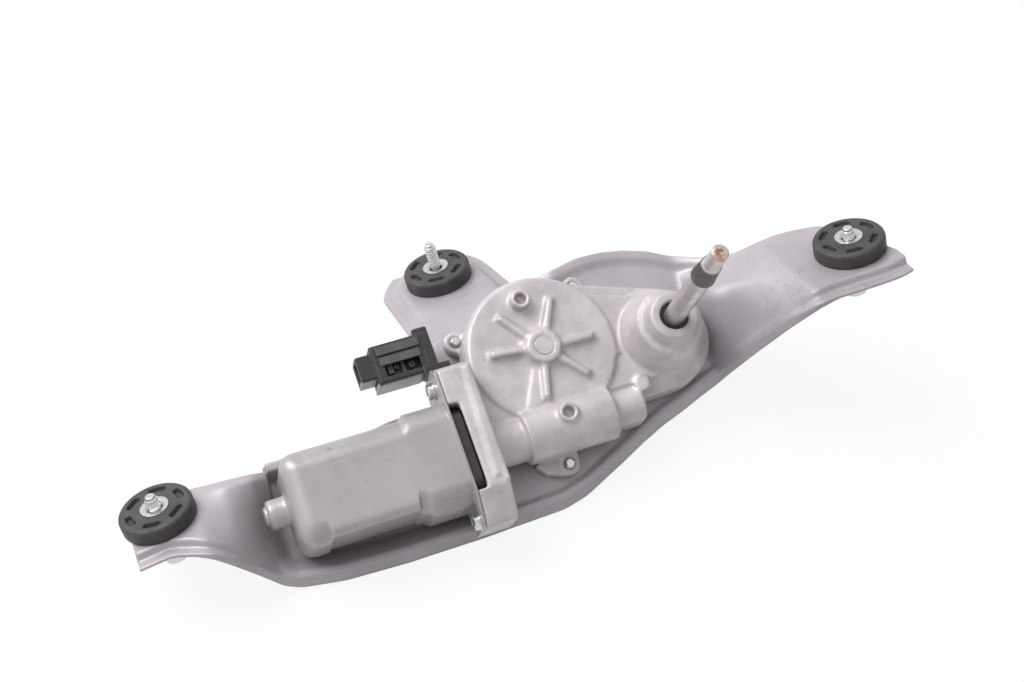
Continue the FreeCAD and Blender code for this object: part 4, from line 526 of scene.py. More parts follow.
def scratch_group() -> bpy.types.NodeTree:
    """Fine long scratches: noise stretched along X and kept only at its crests, in patches.

    Returns:
        The group, with inputs Scale and Amount, and output Mask.
    """
    wire, given, out = new_group("scratch_marks", {"Scale": 220.0, "Amount": 0.02}, {"Mask": "Float"})
    where = wire.add("TexCoord").outputs["Object"]
    laid = wire.add("Mapping", {"Vector": where, "Scale": (0.08, 1.0, 1.0)}).outputs[0]
    crest = wire.noise(laid, given["Scale"], 2.0, 0.4)
    off_middle = wire.reckon("ABSOLUTE", wire.reckon("SUBTRACT", crest, 0.5))
    line = wire.reckon("LESS_THAN", off_middle, given["Amount"])
    wire.feed(out["Mask"], wire.times(line, wire.spread(wire.noise(where, 28.0, 2.0), 0.55, 0.68)))
    return wire.tree


@dataclass(frozen=True)
class Finish:
    """A surface finish: two tones, gloss and the strength of grain, lighter edges that are partly wear and
    partly painted highlight, and scratches.
    """

    coat: Coat
    light: tuple[float, float, float]
    dark: tuple[float, float, float]
    metallic: float = 0.0
    rough: float = 0.5
    rough_spread: float = 0.1
    grain: float = 1800.0
    blotch: float = 40.0
    depth: float = 0.00002
    bump: float = 0.3
    edge: float = 0.0006
    wear_and_highlight: float = 0.0
    specks: float = 0.0
    scratch: float = 0.0
    look: str = ""
    scratch_width: float = 0.012
    worn_highlight_gain: float = 1.35
    worn_highlight_lift: float = 0.04
    speck_shade: float = 0.45
    scratch_shade: float = 0.55

    def build(self) -> bpy.types.Material:
        """Build the node material.

        Returns:
            The material, named for its slot.
        """
        material = bpy.data.materials.new(f"{self.coat.value}_finish")
        material.use_nodes = True
        wire = Wiring(material.node_tree)
        scales = {"Grain Scale": self.grain, "Blotch Scale": self.blotch}
        grain = wire.add("Group", scales, node_tree=GROUPS["grain"]).outputs
        soft = wire.add("Group", {"Radius": self.edge}, node_tree=GROUPS["edge"]).outputs
        colour = wire.mix(grain["Tone"], rgba(self.light), rgba(self.dark))
        if self.specks:
            shade = rgba([c * self.speck_shade for c in self.dark])
            colour = wire.mix(wire.times(grain["Specks"], self.specks), colour, shade)
        # Lighter edges, partly wear and partly a painted highlight on every rounded edge.
        if self.wear_and_highlight:
            worn_edge_highlight = rgba([min(1.0, c * self.worn_highlight_gain + self.worn_highlight_lift) for c in self.light])
            colour = wire.mix(wire.times(soft["Edge"], self.wear_and_highlight), colour, worn_edge_highlight)
        if self.scratch:
            marks = wire.add("Group", {"Amount": self.scratch_width}, node_tree=GROUPS["scratch"]).outputs
            shade = rgba([c * self.scratch_shade for c in self.dark])
            colour = wire.mix(wire.times(marks["Mask"], self.scratch), colour, shade)
        dull, gloss = self.rough + self.rough_spread, self.rough - self.rough_spread
        relief = {"Height": grain["Height"], "Normal": soft["Normal"]}
        bump = wire.add("Bump", {**relief, "Strength": self.bump, "Distance": self.depth})
        shader = material.node_tree.nodes["Principled BSDF"]
        wire.feed(shader.inputs["Base Color"], colour)
        wire.feed(shader.inputs["Roughness"], wire.spread(grain["Tone"], 0.0, 1.0, gloss, dull))
        wire.feed(shader.inputs["Metallic"], self.metallic)
        wire.feed(shader.inputs["Normal"], bump.outputs["Normal"])
        return material


@dataclass(frozen=True)
class SpindleFinish(Finish):
    """Ground steel that turns rusty brown towards the spindle's threaded end, with a darker tone over the
    knurl.
    """

    rust: tuple[float, float, float] = (0.30, 0.125, 0.055)
    rust_from: float = 0.0745
    rust_to: float = 0.0770
    rust_metallic: float = 0.25
    rust_roughness: float = 0.35
    knurl_tone: tuple[float, float, float] = (0.115, 0.105, 0.100)
    knurl_low: float = 0.0488
    knurl_high: float = 0.0622
    knurl_fade: float = 0.0008
    knurl_darkening: float = 0.88

    def build(self) -> bpy.types.Material:
        """Build the node material, with rust and the knurl's darker tone mixed in by the distance along the
        spindle.

        Returns:
            The material.
        """
        material = super().build()
        material.name = "spindle_finish"
        wire = Wiring(material.node_tree)
        shader = material.node_tree.nodes["Principled BSDF"]
        where = wire.add("TexCoord").outputs["Object"]
        along = wire.dot(where, (0.0, -math.sin(REST_TILT), math.cos(REST_TILT)))
        patch = wire.spread(wire.noise(where, 320.0, 5.0, 0.65), 0.36, 0.60)
        share = wire.times(wire.spread(along, self.rust_from, self.rust_to), patch)
        # A darker tone over the knurl band, faded in and out at its two ends.
        begins = wire.spread(along, self.knurl_low - self.knurl_fade, self.knurl_low)
        ends = wire.spread(along, self.knurl_high, self.knurl_high + self.knurl_fade, 1.0, 0.0)
        plain, gloss = (shader.inputs[name].links[0].from_socket for name in ("Base Color", "Roughness"))
        knurl_darkened = wire.mix(wire.times(begins, ends, self.knurl_darkening), plain, rgba(self.knurl_tone))
        wire.feed(shader.inputs["Base Color"], wire.mix(share, knurl_darkened, rgba(self.rust)))
        rough = wire.times(share, self.rust_roughness)
        wire.feed(shader.inputs["Roughness"], wire.reckon("ADD", gloss, rough))
        wire.feed(shader.inputs["Metallic"], wire.spread(share, 0.0, 1.0, self.metallic, self.rust_metallic))
        return material


FINISHES = (
    Finish(Coat.BRACKET, (0.408, 0.374, 0.406), (0.316, 0.288, 0.313), metallic=0.28, rough=0.43,
        rough_spread=0.06,
        grain=900.0, blotch=22.0, depth=0.00005, bump=0.16, edge=0.0010, wear_and_highlight=0.40, specks=0.12,
        scratch=0.45),
    Finish(Coat.CASTING, (0.530, 0.492, 0.515), (0.385, 0.354, 0.371), metallic=0.22, rough=0.46,
        rough_spread=0.07,
        grain=1500.0, blotch=60.0, depth=0.00007, bump=0.40, edge=0.0010, wear_and_highlight=0.35, specks=0.30),
    Finish(Coat.CAN, (0.392, 0.369, 0.382), (0.298, 0.280, 0.291), metallic=0.30, rough=0.38,
        rough_spread=0.07,
        grain=700.0, blotch=30.0, depth=0.00003, bump=0.10, edge=0.0010, wear_and_highlight=0.35, specks=0.25,
        scratch=0.55),
    Finish(Coat.ZINC, (0.660, 0.660, 0.650), (0.520, 0.520, 0.515), metallic=0.95, rough=0.26, grain=2600.0,
        blotch=180.0, bump=0.15, edge=0.0003, wear_and_highlight=0.2),
    Finish(Coat.RUBBER, (0.046, 0.041, 0.045), (0.031, 0.028, 0.031), rough=0.60, grain=2400.0,
        blotch=140.0,
        bump=0.45, edge=0.0008, wear_and_highlight=0.60, specks=0.3),
    Finish(Coat.SEAL, (0.014, 0.014, 0.015), (0.010, 0.010, 0.011), rough=0.45, grain=2400.0, blotch=90.0),
    Finish(Coat.BLACK, (0.021, 0.019, 0.021), (0.013, 0.012, 0.013), rough=0.42, grain=3000.0, blotch=160.0,
        bump=0.25, edge=0.0005, wear_and_highlight=0.6),
    Finish(Coat.HOLDER, (0.030, 0.024, 0.024), (0.014, 0.012, 0.012), rough=0.5, grain=1500.0,
        blotch=150.0),
    Finish(Coat.ACETAL, (0.70, 0.68, 0.60), (0.62, 0.60, 0.52), rough=0.42, grain=2000.0,
        blotch=80.0, edge=0.0003),
    Finish(Coat.BRASS, (0.66, 0.60, 0.44), (0.50, 0.45, 0.33), metallic=0.95, rough=0.30,
        grain=2400.0, edge=0.0002),
    Finish(Coat.COPPER, (0.62, 0.26, 0.12), (0.46, 0.18, 0.08), metallic=0.9, rough=0.34,
        grain=2600.0, edge=0.0003),
    Finish(Coat.BRONZE, (0.42, 0.30, 0.16), (0.32, 0.22, 0.12), metallic=0.85, rough=0.45, grain=3200.0),
    Finish(Coat.FERRITE, (0.055, 0.055, 0.058), (0.035, 0.035, 0.038), metallic=0.1, rough=0.6,
        grain=2200.0),
    Finish(Coat.IRON, (0.24, 0.24, 0.25), (0.17, 0.17, 0.18), metallic=0.8, rough=0.42, grain=2600.0),
    Finish(Coat.CARBON, (0.05, 0.05, 0.05), (0.035, 0.035, 0.035), rough=0.6, grain=3200.0),
    SpindleFinish(Coat.GROUND, (0.60, 0.567, 0.572), (0.47, 0.442, 0.447), metallic=0.85,
        rough=0.34, grain=1800.0,
        blotch=110.0, bump=0.15, edge=0.0003, wear_and_highlight=0.2),
    Finish(Coat.BLACK, (0.085, 0.080, 0.086), (0.050, 0.047, 0.052), rough=0.40, grain=2600.0, blotch=160.0,
        bump=0.2, edge=0.0003, wear_and_highlight=0.6, look="latch"),
    # Pale copy of the black plastic for the sheets that paint a highlight on the connector's near sides.
    Finish(Coat.BLACK, (0.40, 0.395, 0.395), (0.33, 0.325, 0.325), rough=0.42, grain=2600.0, blotch=90.0,
        bump=0.12, edge=0.0003, wear_and_highlight=0.3, look="painted_highlight"),
)


GROUPS: dict[str, bpy.types.NodeTree] = {}
MATERIALS: dict[object, bpy.types.Material] = {}


def dress(piece: bpy.types.Object, look: object) -> None:
    """Give a piece its finish.

    Args:
        piece: The object.
        look: The finish's own look, or its coat.
    """
    if piece.material_slots:
        for slot in piece.material_slots:
            slot.material = MATERIALS[look]
    else:
        piece.data.materials.append(MATERIALS[look])


def seat(piece: bpy.types.Object, body: str, coat: Coat, *nodes: str, look: Optional[str] = None) -> None:
    """Dress a new piece, ride it on its body and hide the nodes that it stands for.

    Args:
        piece: The new object.
        body: The body it moves with.
        coat: The record's slot that it belongs to.
        nodes: Nodes of the frame that it hides.
        look: Its own look, where it has one within the slot.
    """
    dress(piece, look or coat)
    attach(piece, body)
    if nodes:
        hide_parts(*nodes)
    log.info("%s rides on %s, %d faces", piece.name, body, len(piece.data.polygons))


def tapered(lower: np.ndarray, upper: np.ndarray) -> np.ndarray:
    """A closed block between two rings of corners, in the gearbox's axes.

    Args:
        lower: Corners of the lower ring, as (x, y, z) rows.
        upper: Corners of the upper ring, in the same order.

    Returns:
        Grid of a pole, the two rings and a pole.
    """
    poles = [np.repeat(ring.mean(axis=0, keepdims=True), len(ring), axis=0) for ring in (lower, upper)]
    return np.stack([poles[0], lower, upper, poles[1]])


@dataclass
class Casting:
    """The die-cast case: its own solid with drafted ribs, and every edge rounded as casting leaves it."""

    voxel: float = 0.85
    rounding_passes: int = 5
    wheel_x: float = -59.8
    wheel_y: float = 8.9
    roof_z: float = -24.6
    rib_top_z: float = -20.8
    rib_angles: tuple[float, ...] = (-3.0, 62.0, 128.0, 173.0, -105.0, -48.0)
    rib_reach: float = 27.5
    rib_slope: float = 2.6
    rib_foot: float = 3.1
    rib_crest: float = 1.5
    hub_fillet: tuple[tuple[float, float], ...] = (
        (0.0, -24.8), (13.2, -24.8), (10.8, -23.6), (9.2, -22.2), (8.6, -20.6), (0.0, -20.6),
    )
    shelf: tuple[tuple[float, float], ...] = (
        (-99.5, -18.0), (-99.5, 12.0), (-88.0, 14.0), (-78.0, -14.0), (-84.0, -19.0),
    )
    shelf_top: float = -25.6
    shelf_low: float = -33.0
    rail: tuple[tuple[float, float], ...] = ((-102.6, 7.6), (-105.4, -46.0), (-102.6, -46.0), (-99.9, 7.6))
    rail_top: float = -10.5
    rail_low: float = -14.0
    rib_narrowing: float = 0.8
    hub_step: float = 2.0
    hub_columns: int = 48
    rounding: float = 0.5

    def rib(self, angle: float) -> bpy.types.Object:
        """One drafted rib from the hub outwards, wider at its foot than at its crest."""
        along = np.array([math.cos(math.radians(angle)), math.sin(math.radians(angle)), 0.0])
        across = np.array([-along[1], along[0], 0.0])
        end = self.rib_narrowing
        rings = []
        for reach, half, z in ((self.rib_reach, self.rib_foot, self.roof_z),
                               (self.rib_reach - self.rib_slope, self.rib_crest, self.rib_top_z)):
            middle = np.array([self.wheel_x, self.wheel_y, z])
            rings.append(np.stack([middle + along * far + across * half * side
                                   for far, side in ((0.0, -1.0), (reach, -end), (reach, end), (0.0, 1.0))]))
        return grid_mesh("cast_rib", to_row(tapered(*rings)))

    def hub(self) -> bpy.types.Object:
        """The fillet round the hub's foot."""
        profile = filled(self.hub_fillet, self.hub_step)
        return turned("hub_fillet", work_place(self.wheel_x, self.wheel_y, 0.0), profile, self.hub_columns)

    def block(self, outline: Sequence[tuple[float, float]], low: float, high: float) -> bpy.types.Object:
        """A block with the given outline in plan, such as the shelf beside the flange or its rail."""
        rings = [np.array([(x, y, z) for x, y in outline]) for z in (low, high)]
        return grid_mesh("cast_block", to_row(tapered(*rings)))

    def build(self) -> None:
        """Join the additions to a copy of the solid, rebuild its skin evenly and smooth it."""
        mesh = frame["nodes"]["gear_housing"].data.copy()
        mesh.materials.clear()
        close_mesh(mesh, 180.0)
        rough = link(bpy.data.objects.new("rough_casting", mesh))
        additions = [
            *map(self.rib, self.rib_angles), self.hub(),
            self.block(self.shelf, self.shelf_low, self.shelf_top),
            self.block(self.rail, self.rail_low, self.rail_top),
        ]
        rough = joined("rough_casting", [rough, *additions])
        skin = rough.modifiers.new("even_skin", "REMESH")
        skin.mode = "VOXEL"
        skin.voxel_size = self.voxel * MM
        rounds = rough.modifiers.new("rounded_edges", "SMOOTH")
        rounds.factor = self.rounding
        rounds.iterations = self.rounding_passes
        graph = bpy.context.evaluated_depsgraph_get()
        finished = bpy.data.meshes.new_from_object(rough.evaluated_get(graph))
        bpy.data.objects.remove(rough)
        finished.shade_smooth()
        piece = link(bpy.data.objects.new("housing_casting", finished))
        seat(piece, "motor_body", Coat.CASTING, "gear_housing")


# Columns after the place that describe the lower edge and the knee; the rest are the upper edge.
UPPER_EDGE = 7

# Stations of the bracket along X: x; the lower edge's y, its floor's share of the way from the pan to
# the mounts' plane, the trough's share, the rim's height and the flange's share; the knee's y and
# share; the upper edge's y, share, trough's share and rim.
BRACKET_STATIONS = np.array([
    (-267, -36.8, 1, 0, -4.5, 0, -20, 1, -0.5, 1, 0, 0),
    (-252, -35.2, 1, 0, -4.5, 0, -20, 1, 0.5, 1, 0, 0),
    (-243, -38.3, 1, 0, -4.5, 0.1, -20, 1, -2.5, 1, 0, 0),
    (-236, -41.3, 0.94, 0, -4, 0.3, -22, 1, -3.4, 1, 0, 0),
    (-222, -47, 0.5, 0, -2.8, 0.8, -22, 0.72, -5, 1, 0, 0),
    (-208, -54.3, 0.1, 0.4, -1, 1, -24, 0.2, -5.8, 0.75, 0.1, 0),
    (-201, -56.8, 0, 1, 2, 1, -26, 0.02, -5.7, 0.35, 0.2, 0),
    (-200, -57.2, 0, 1, 2, 1, -26, 0, -1.4, 0, 1, 2),
    (-180, -60.3, 0, 1, 2, 1, -27, 0, -1, 0, 1, 2),
    (-150, -61.5, 0, 1, 2, 1, -27, 0, -0.8, 0, 1, 2),
    (-137, -61.4, 0, 1, 2, 1, -27, 0, 1.3, 0, 1, 2),
    (-115.2, -61.3, 0, 1, 2, 1, -25, 0, 1.3, 0, 1, 2),
    (-112.7, -61.3, 0, 1, 2, 1, -15, 0, 1.6, 0, 0, 0),
    (-108, -61.2, 0, 1, 2, 1, -12, 0, 14, 0, 0, 0),
    (-98, -60.8, 0, 1, 2, 1, -10, 0, 14, 0, 0, 0),
    (-94.5, -60.7, 0, 0, 2, 1, -10, 0, 14, 0, 0, 0),
    (-70, -60, 0, 0, 2, 1, 0, 0, 14, 0, 0, 0),
    (-58, -57.2, 0, 0, 2, 1, 0, 0, 14, 0, 0, 0),
    (-54, -55.6, 0, 0, 2, 1, 40, 0, 50, 1, 0, -2),
    (-46, -52, 0, 0, 2, 1, 42, 0, 51.3, 0.4, 0, 0.5),
    (-36, -47.6, 0, 0, 2, 1, 30, 0, 52, 0, 0, 2),
    (-21, -40.6, 0, 0, 2, 1, 20, 0, 54.9, 0, 0, 2),
    (-8, -35.2, 0, 0, 2, 1, 15, 0, 54.5, 0, 0, 2),
    (3.6, -31.5, 0, 0, 2, 1, 12, 0, 52.4, 0, 0, 2),
    (15.8, -27, 0, 0, 2, 1, 10, 0, 48.5, 0, 0, 2),
    (27.2, -23.2, 0, 0, 2, 1, 10, 0, 42.3, 0, 0, 2),
    (30.5, -22.2, 0.1, 0, 2, 1, 11, 0.5, 40.6, 0.12, 0, 2),
    (40, -20.6, 0.42, 0, 2, 1, 11, 0.68, 35, 0.35, 0, 1),
    (50, -20.4, 0.78, 0, 0, 0.8, 8, 0.86, 28.5, 0.75, 0, 0),
    (60, -21.4, 1, 0, -3.6, 0.3, 6, 1, 27.6, 1, 0, 0),
    (70, -20.8, 1, 0, -4.5, 0, 5, 1, 28.6, 1, 0, 0),
    (80, -21.2, 1, 0, -4.5, 0, 4, 1, 27.4, 1, 0, 0),
    (91, -21.5, 1, 0, -4.5, 0, 2, 1, 24.6, 1, 0, 0),
    (99, -21.4, 1, 0, -4.5, 0, 0, 1, 16.5, 1, 0, 0),
    (104, -20.8, 1, 0, -4.5, 0, -6, 1, 2, 1, 0, 0),
    (107, -20, 1, 0, -4.5, 0, -11, 1, -5.5, 1, 0, 0),
])

# Stations of the middle arm along Y: y, left and right edge's x, share of the left and right step
ARM_STATIONS = np.array([
    (7.5, -108, -53.4, 0.3, 0),
    (33.6, -108.3, -53.4, 0.5, 0),
    (42, -108.8, -53, 1, 0),
    (50, -109.2, -51.6, 1, 0.5),
    (58, -109.4, -51.1, 1, 1),
    (77, -110.2, -54.3, 1, 1),
    (84, -106.5, -56, 1, 1),
    (89.5, -101, -59.5, 1, 1),
])


@dataclass
class Bracket:
    """The pressed bracket: a bent sheet whose profile changes from station to station."""

    pan: float = -46.55
    trough_drop: float = 6.1
    trough_run: float = 6.0
    ledge: float = 4.5
    ledge_loss: float = 1.6
    wall_run: float = 3.5
    run_loss: float = 0.9
    curb: float = 2.0
    tab_step: float = 4.5
    lip_drop: float = 2.0
    lip_deepening: float = 2.8
    lip_spread: float = 3.6
    back_lip: float = 3.0
    back_ledge: float = 2.0
    sheet: float = 1.6
    arm_bend: float = 33.6
    arm_proud: float = 0.03
    arm_lip_reach: float = 0.8
    arm_lip_extra: float = 0.5
    lip_reach: float = 0.4
    arm_begins: tuple[float, float] = (-111.0, -107.5)
    arm_ends: tuple[float, float] = (-58.5, -54.5)
    main_bends: tuple[float, ...] = (1.0, 0.9, 1.3, 5.0, 1.8, 1.0, 1.0)
    arm_bends: tuple[float, ...] = (1.0, 0.9, 1.4, 1.4, 0.9, 1.0)
    skipped_station: float = -54.0
    step: float = 1.25
    mount_offset: float = 1.0
    mount_normal: tuple[float, float, float] = (-0.13572, 0.65390, 0.74431)
    jumps: tuple[tuple[float, float], ...] = ((-267.0, -201.0), (-200.0, -58.0), (-54.0, 107.0))

    def mount_height(self, x: np.ndarray, y: np.ndarray) -> np.ndarray:
        """Height of the mounts' plane: z = (-offset - nx x - ny y) / nz."""
        nx, ny, nz = self.mount_normal
        return (-self.mount_offset - nx * x - ny * y) / nz

    def floor_height(self, x: np.ndarray, y: np.ndarray, share: np.ndarray,
                     trough: np.ndarray) -> np.ndarray:
        """Height of the floor: a share of the way from the pan or its trough to the mounts' plane."""
        low = self.pan - trough * self.trough_drop
        return low + share * (self.mount_height(x, y) - low)

    def main_sheet(self) -> np.ndarray:
        """The long sheet, left tab to right tab.

        Returns:
            Grid of points in the gearbox's axes, rows along X, columns from the upper edge down.
        """
        known = BRACKET_STATIONS[:, 0]
        whole = ((known[0], known[-1]),)
        near = known[known != self.skipped_station]
        x = np.unique(np.concatenate([np.arange(known[0], known[-1], self.step), near]))
        rows = [eased(x, known, values, whole if i < UPPER_EDGE else self.jumps)
                for i, values in enumerate(BRACKET_STATIONS.T[1:])]
        y_low, share_low, trough, rim_low, flange, y_knee, share_knee = rows[:UPPER_EDGE]
        y_up, share_up, trough_up, rim_up = rows[UPPER_EDGE:]
        level = np.zeros_like(x)
        ledge = self.ledge - flange * self.ledge_loss
        low_in = y_low + ledge + self.wall_run - flange * self.run_loss + trough * self.trough_run
        back = self.back_ledge * (1.0 + np.maximum(rim_up, 0.0) / self.curb)
        up_in = y_up - back * 2.0
        under_arm = smooth_step(x, *self.arm_begins) * (1.0 - smooth_step(x, *self.arm_ends))
        spine = (
            (y_low, share_low, level, rim_low), (y_low + ledge, share_low, level, rim_low),
            (low_in, share_low, trough, level), (y_knee, share_knee, trough, level),
            (up_in, share_up, trough_up, level), (y_up - back, share_up, level, rim_up),
            (y_up, share_up, level, rim_up),
        )
        line = [(y, self.floor_height(x, y, share, sunk) + rim) for y, share, sunk, rim in spine]
        drop = self.lip_drop + flange * self.lip_deepening
        low_lip = (y_low - self.lip_reach - flange * self.lip_spread, line[0][1] - drop)
        up_lip = (y_up + self.lip_reach, line[-1][1] - self.back_lip * (1.0 - under_arm))
        corners = np.stack([np.column_stack([x, y, z]) for y, z in (low_lip, *line, up_lip)], axis=1)
        return bent(corners, self.main_bends)[:, ::-1]

    def arm_sheet(self) -> np.ndarray:
        """The middle arm, from under the case up to its tab.

        Returns:
            Grid of points in the gearbox's axes, rows along Y.
        """
        known = ARM_STATIONS[:, 0]
        y = np.unique(np.concatenate([np.arange(known[0], known[-1], self.step), known]))
        x_low, x_up, left, right = (
            eased(y, known, ARM_STATIONS[:, i], ((known[0], known[-1]),)) for i in range(1, 5)
        )
        lip = self.lip_drop + self.arm_lip_extra + self.tab_step

        def height(x: np.ndarray) -> np.ndarray:
            """The pan's height near the case, and the lower of it and the mounts' plane beyond."""
            return np.where(y <= self.arm_bend, self.pan, np.minimum(self.pan, self.mount_height(x, y)))

        def side(edge: np.ndarray, share: np.ndarray, way: float) -> list[tuple[np.ndarray, np.ndarray]]:
            """Lip, edge, ledge and foot of one side, from the edge inwards."""
            ledge = edge + way * self.ledge
            foot = ledge + way * self.wall_run
            return [
                (edge - way * self.arm_lip_reach, height(edge) - share * lip),
                (edge, height(edge) - share * self.tab_step),
                (ledge, height(ledge) - share * self.tab_step),
                (foot, height(foot)),
            ]

        profile = side(x_low, left, 1.0) + side(x_up, right, -1.0)[::-1]
        corners = np.stack([np.column_stack([x, y, z + self.arm_proud]) for x, z in profile], axis=1)
        return bent(corners, self.arm_bends, run_steps=6)

    def build(self) -> None:
        """Make both sheets one piece and give it the steel's thickness downwards."""
        sheets = [
            grid_mesh("bracket_main", to_row(self.main_sheet()), wrap=False, sharp_deg=60.0),
            grid_mesh("bracket_arm", to_row(self.arm_sheet()), wrap=False, sharp_deg=60.0),
        ]
        piece = joined("bracket_pressing", sheets)
        solid = piece.modifiers.new("sheet_steel", "SOLIDIFY")
        solid.thickness = self.sheet * MM
        solid.offset = -1.0
        seat(piece, "motor_body", Coat.BRACKET, "mounting_bracket")


FLANGE_OUTLINE = (
    (9.0, -12.0), (-49.6, -12.0), (-65.5, -20.5), (-65.5, -41.5), (-57.5, -43.8), (-48.4, -51.9),
    (-15.6, -51.9), (-7.4, -45.8), (-4.6, -43.8), (11.5, -43.0), (12.5, -20.0),
)


@dataclass
class MotorCan:
    """The drawn motor can: a rounded square that swells to a collar, with a bearing cup behind."""

    back_x: float = -197.2
    shaft_z: float = -32.5
    half_width: float = 22.5
    half_height: float = 19.5
    corner: float = 9.0
    edge: float = 8.0
    collar_rise: float = 2.5
    collar_from: float = 58.0
    collar_full: float = 62.0
    flange_at: float = 80.8
    flange_thick: float = 1.2
    bevel_share: float = 0.5
    panel_from: float = 13.0
    panel_to: float = 56.5
    panel_depth: float = 1.3
    panel_crease: float = 6.0
    panel_edge: float = 1.6
    bevel_run: tuple[float, float] = (2.0, 12.0)
    after_edge: float = 0.6
    after_collar: float = 1.5
    side_rows: int = 100
    collar_rows: int = 8
    edge_steps: int = 8
    corner_steps: int = 20
    side_steps: int = 14
    cup: tuple[tuple[float, float], ...] = (
        (-10.9, 0.01), (-10.9, 3.6), (-10.7, 4.2), (-10.2, 4.5), (-9.5, 4.5), (-9.5, 5.4), (-9.2, 6.3),
        (-8.4, 6.9), (-7.6, 7.0), (-5.0, 7.0), (-2.0, 7.0), (-0.9, 7.2), (-0.3, 7.8), (0.0, 8.8),
    )

    def rows(self) -> np.ndarray:
        """Rows of (place, half width, half height, corner, panel's share) from the cup's tip to the flange.

        Returns:
            The rows; a round row has both halves equal to its corner.
        """
        rounds = [(place, radius, radius, radius, 0.0) for place, radius in self.cup]
        angle = np.linspace(0.0, math.pi / 2, self.edge_steps + 1)
        inset = self.edge * (1.0 - np.sin(angle))
        rear = np.column_stack([
            self.edge * (1.0 - np.cos(angle)), self.half_width - inset, self.half_height - inset,
            np.maximum(self.corner - inset, 1.0), np.zeros_like(inset),
        ])
        along = np.concatenate([
            np.linspace(self.edge + self.after_edge, self.collar_from, self.side_rows),
            np.linspace(self.collar_from, self.collar_full, self.collar_rows + 1)[1:],
            np.linspace(self.collar_full + self.after_collar, self.flange_at, self.collar_rows),
        ])
        rise = self.collar_rise * smooth_step(along, self.collar_from, self.collar_full)
        panel = smooth_step(along, self.panel_from, self.panel_from + self.panel_edge)
        panel = panel * (1.0 - smooth_step(along, self.panel_to - self.panel_edge, self.panel_to))
        fixed = [np.full_like(along, size) for size in (self.half_height, self.corner)]
        body = np.column_stack([along, self.half_width + rise, *fixed, panel])
        return np.concatenate([rounds, rear, body])

    def outline(self, rows: np.ndarray) -> np.ndarray:
        """The rounded square of each row: four corners, each a blend of its arc and its chord.

        Args:
            rows: Rows of place, half width, half height, corner and panel's share.

        Returns:
            Grid of points (x, y, z) about the shaft, in millimetres.
        """
        full, tall, round_corner, panel = (rows[:, i:i + 1] for i in (1, 2, 3, 4))
        turn = np.linspace(0.0, math.pi / 2, self.corner_steps + 1)[None, :]
        share = turn / (math.pi / 2)
        flat = self.bevel_share * smooth_step(rows[:, :1], *self.bevel_run)
        arcs = []
        for k, (side_y, side_z) in enumerate(((1, 1), (-1, 1), (-1, -1), (1, -1))):
            angle = turn + k * math.pi / 2
            near = panel if side_y < 0 else 0.0 * panel
            wide = full - self.panel_depth * near
            corner = round_corner - self.panel_crease * near * (side_z > 0)
            arc = np.stack([np.cos(angle) * corner, np.sin(angle) * corner], axis=-1)
            chord = arc[:, :1] + (arc[:, -1:] - arc[:, :1]) * share[..., None]
            middle = np.stack([side_y * (wide - corner), side_z * (tall - corner)], axis=-1)
            arcs.append(middle + arc + (chord - arc) * flat[..., None])
        runs = []
        step = np.linspace(0.0, 1.0, self.side_steps + 1)[None, 1:-1, None]
        for here, after in zip(arcs, arcs[1:] + arcs[:1]):
            runs += [here, here[:, -1:] + (after[:, :1] - here[:, -1:]) * step]
        ring = np.concatenate(runs, axis=1)
        along = np.repeat(rows[:, :1, None], ring.shape[1], axis=1)
        return np.concatenate([along, ring], axis=2)

    def build(self) -> None:
        """Build the shell and its flange as one piece."""
        grid = self.outline(self.rows())
        grid = grid + np.array([self.back_x, SHAFT_Y, self.shaft_z])
        closing = grid[-1:].copy()
        closing[..., 1:] = (SHAFT_Y, self.shaft_z)
        shell = grid_mesh("can_body", to_row(np.concatenate([grid, closing])), sharp_deg=40.0)
        low = self.back_x + self.flange_at
        plate = prism(FLANGE_OUTLINE, low, low + self.flange_thick)
        flange = grid_mesh("can_flange", to_row(plate), sharp_deg=30.0)
        seat(joined("can_shell", [shell, flange]), "motor_body", Coat.CAN, "motor_can")


Blocks = tuple[tuple[Sequence[float], Sequence[float]], ...]


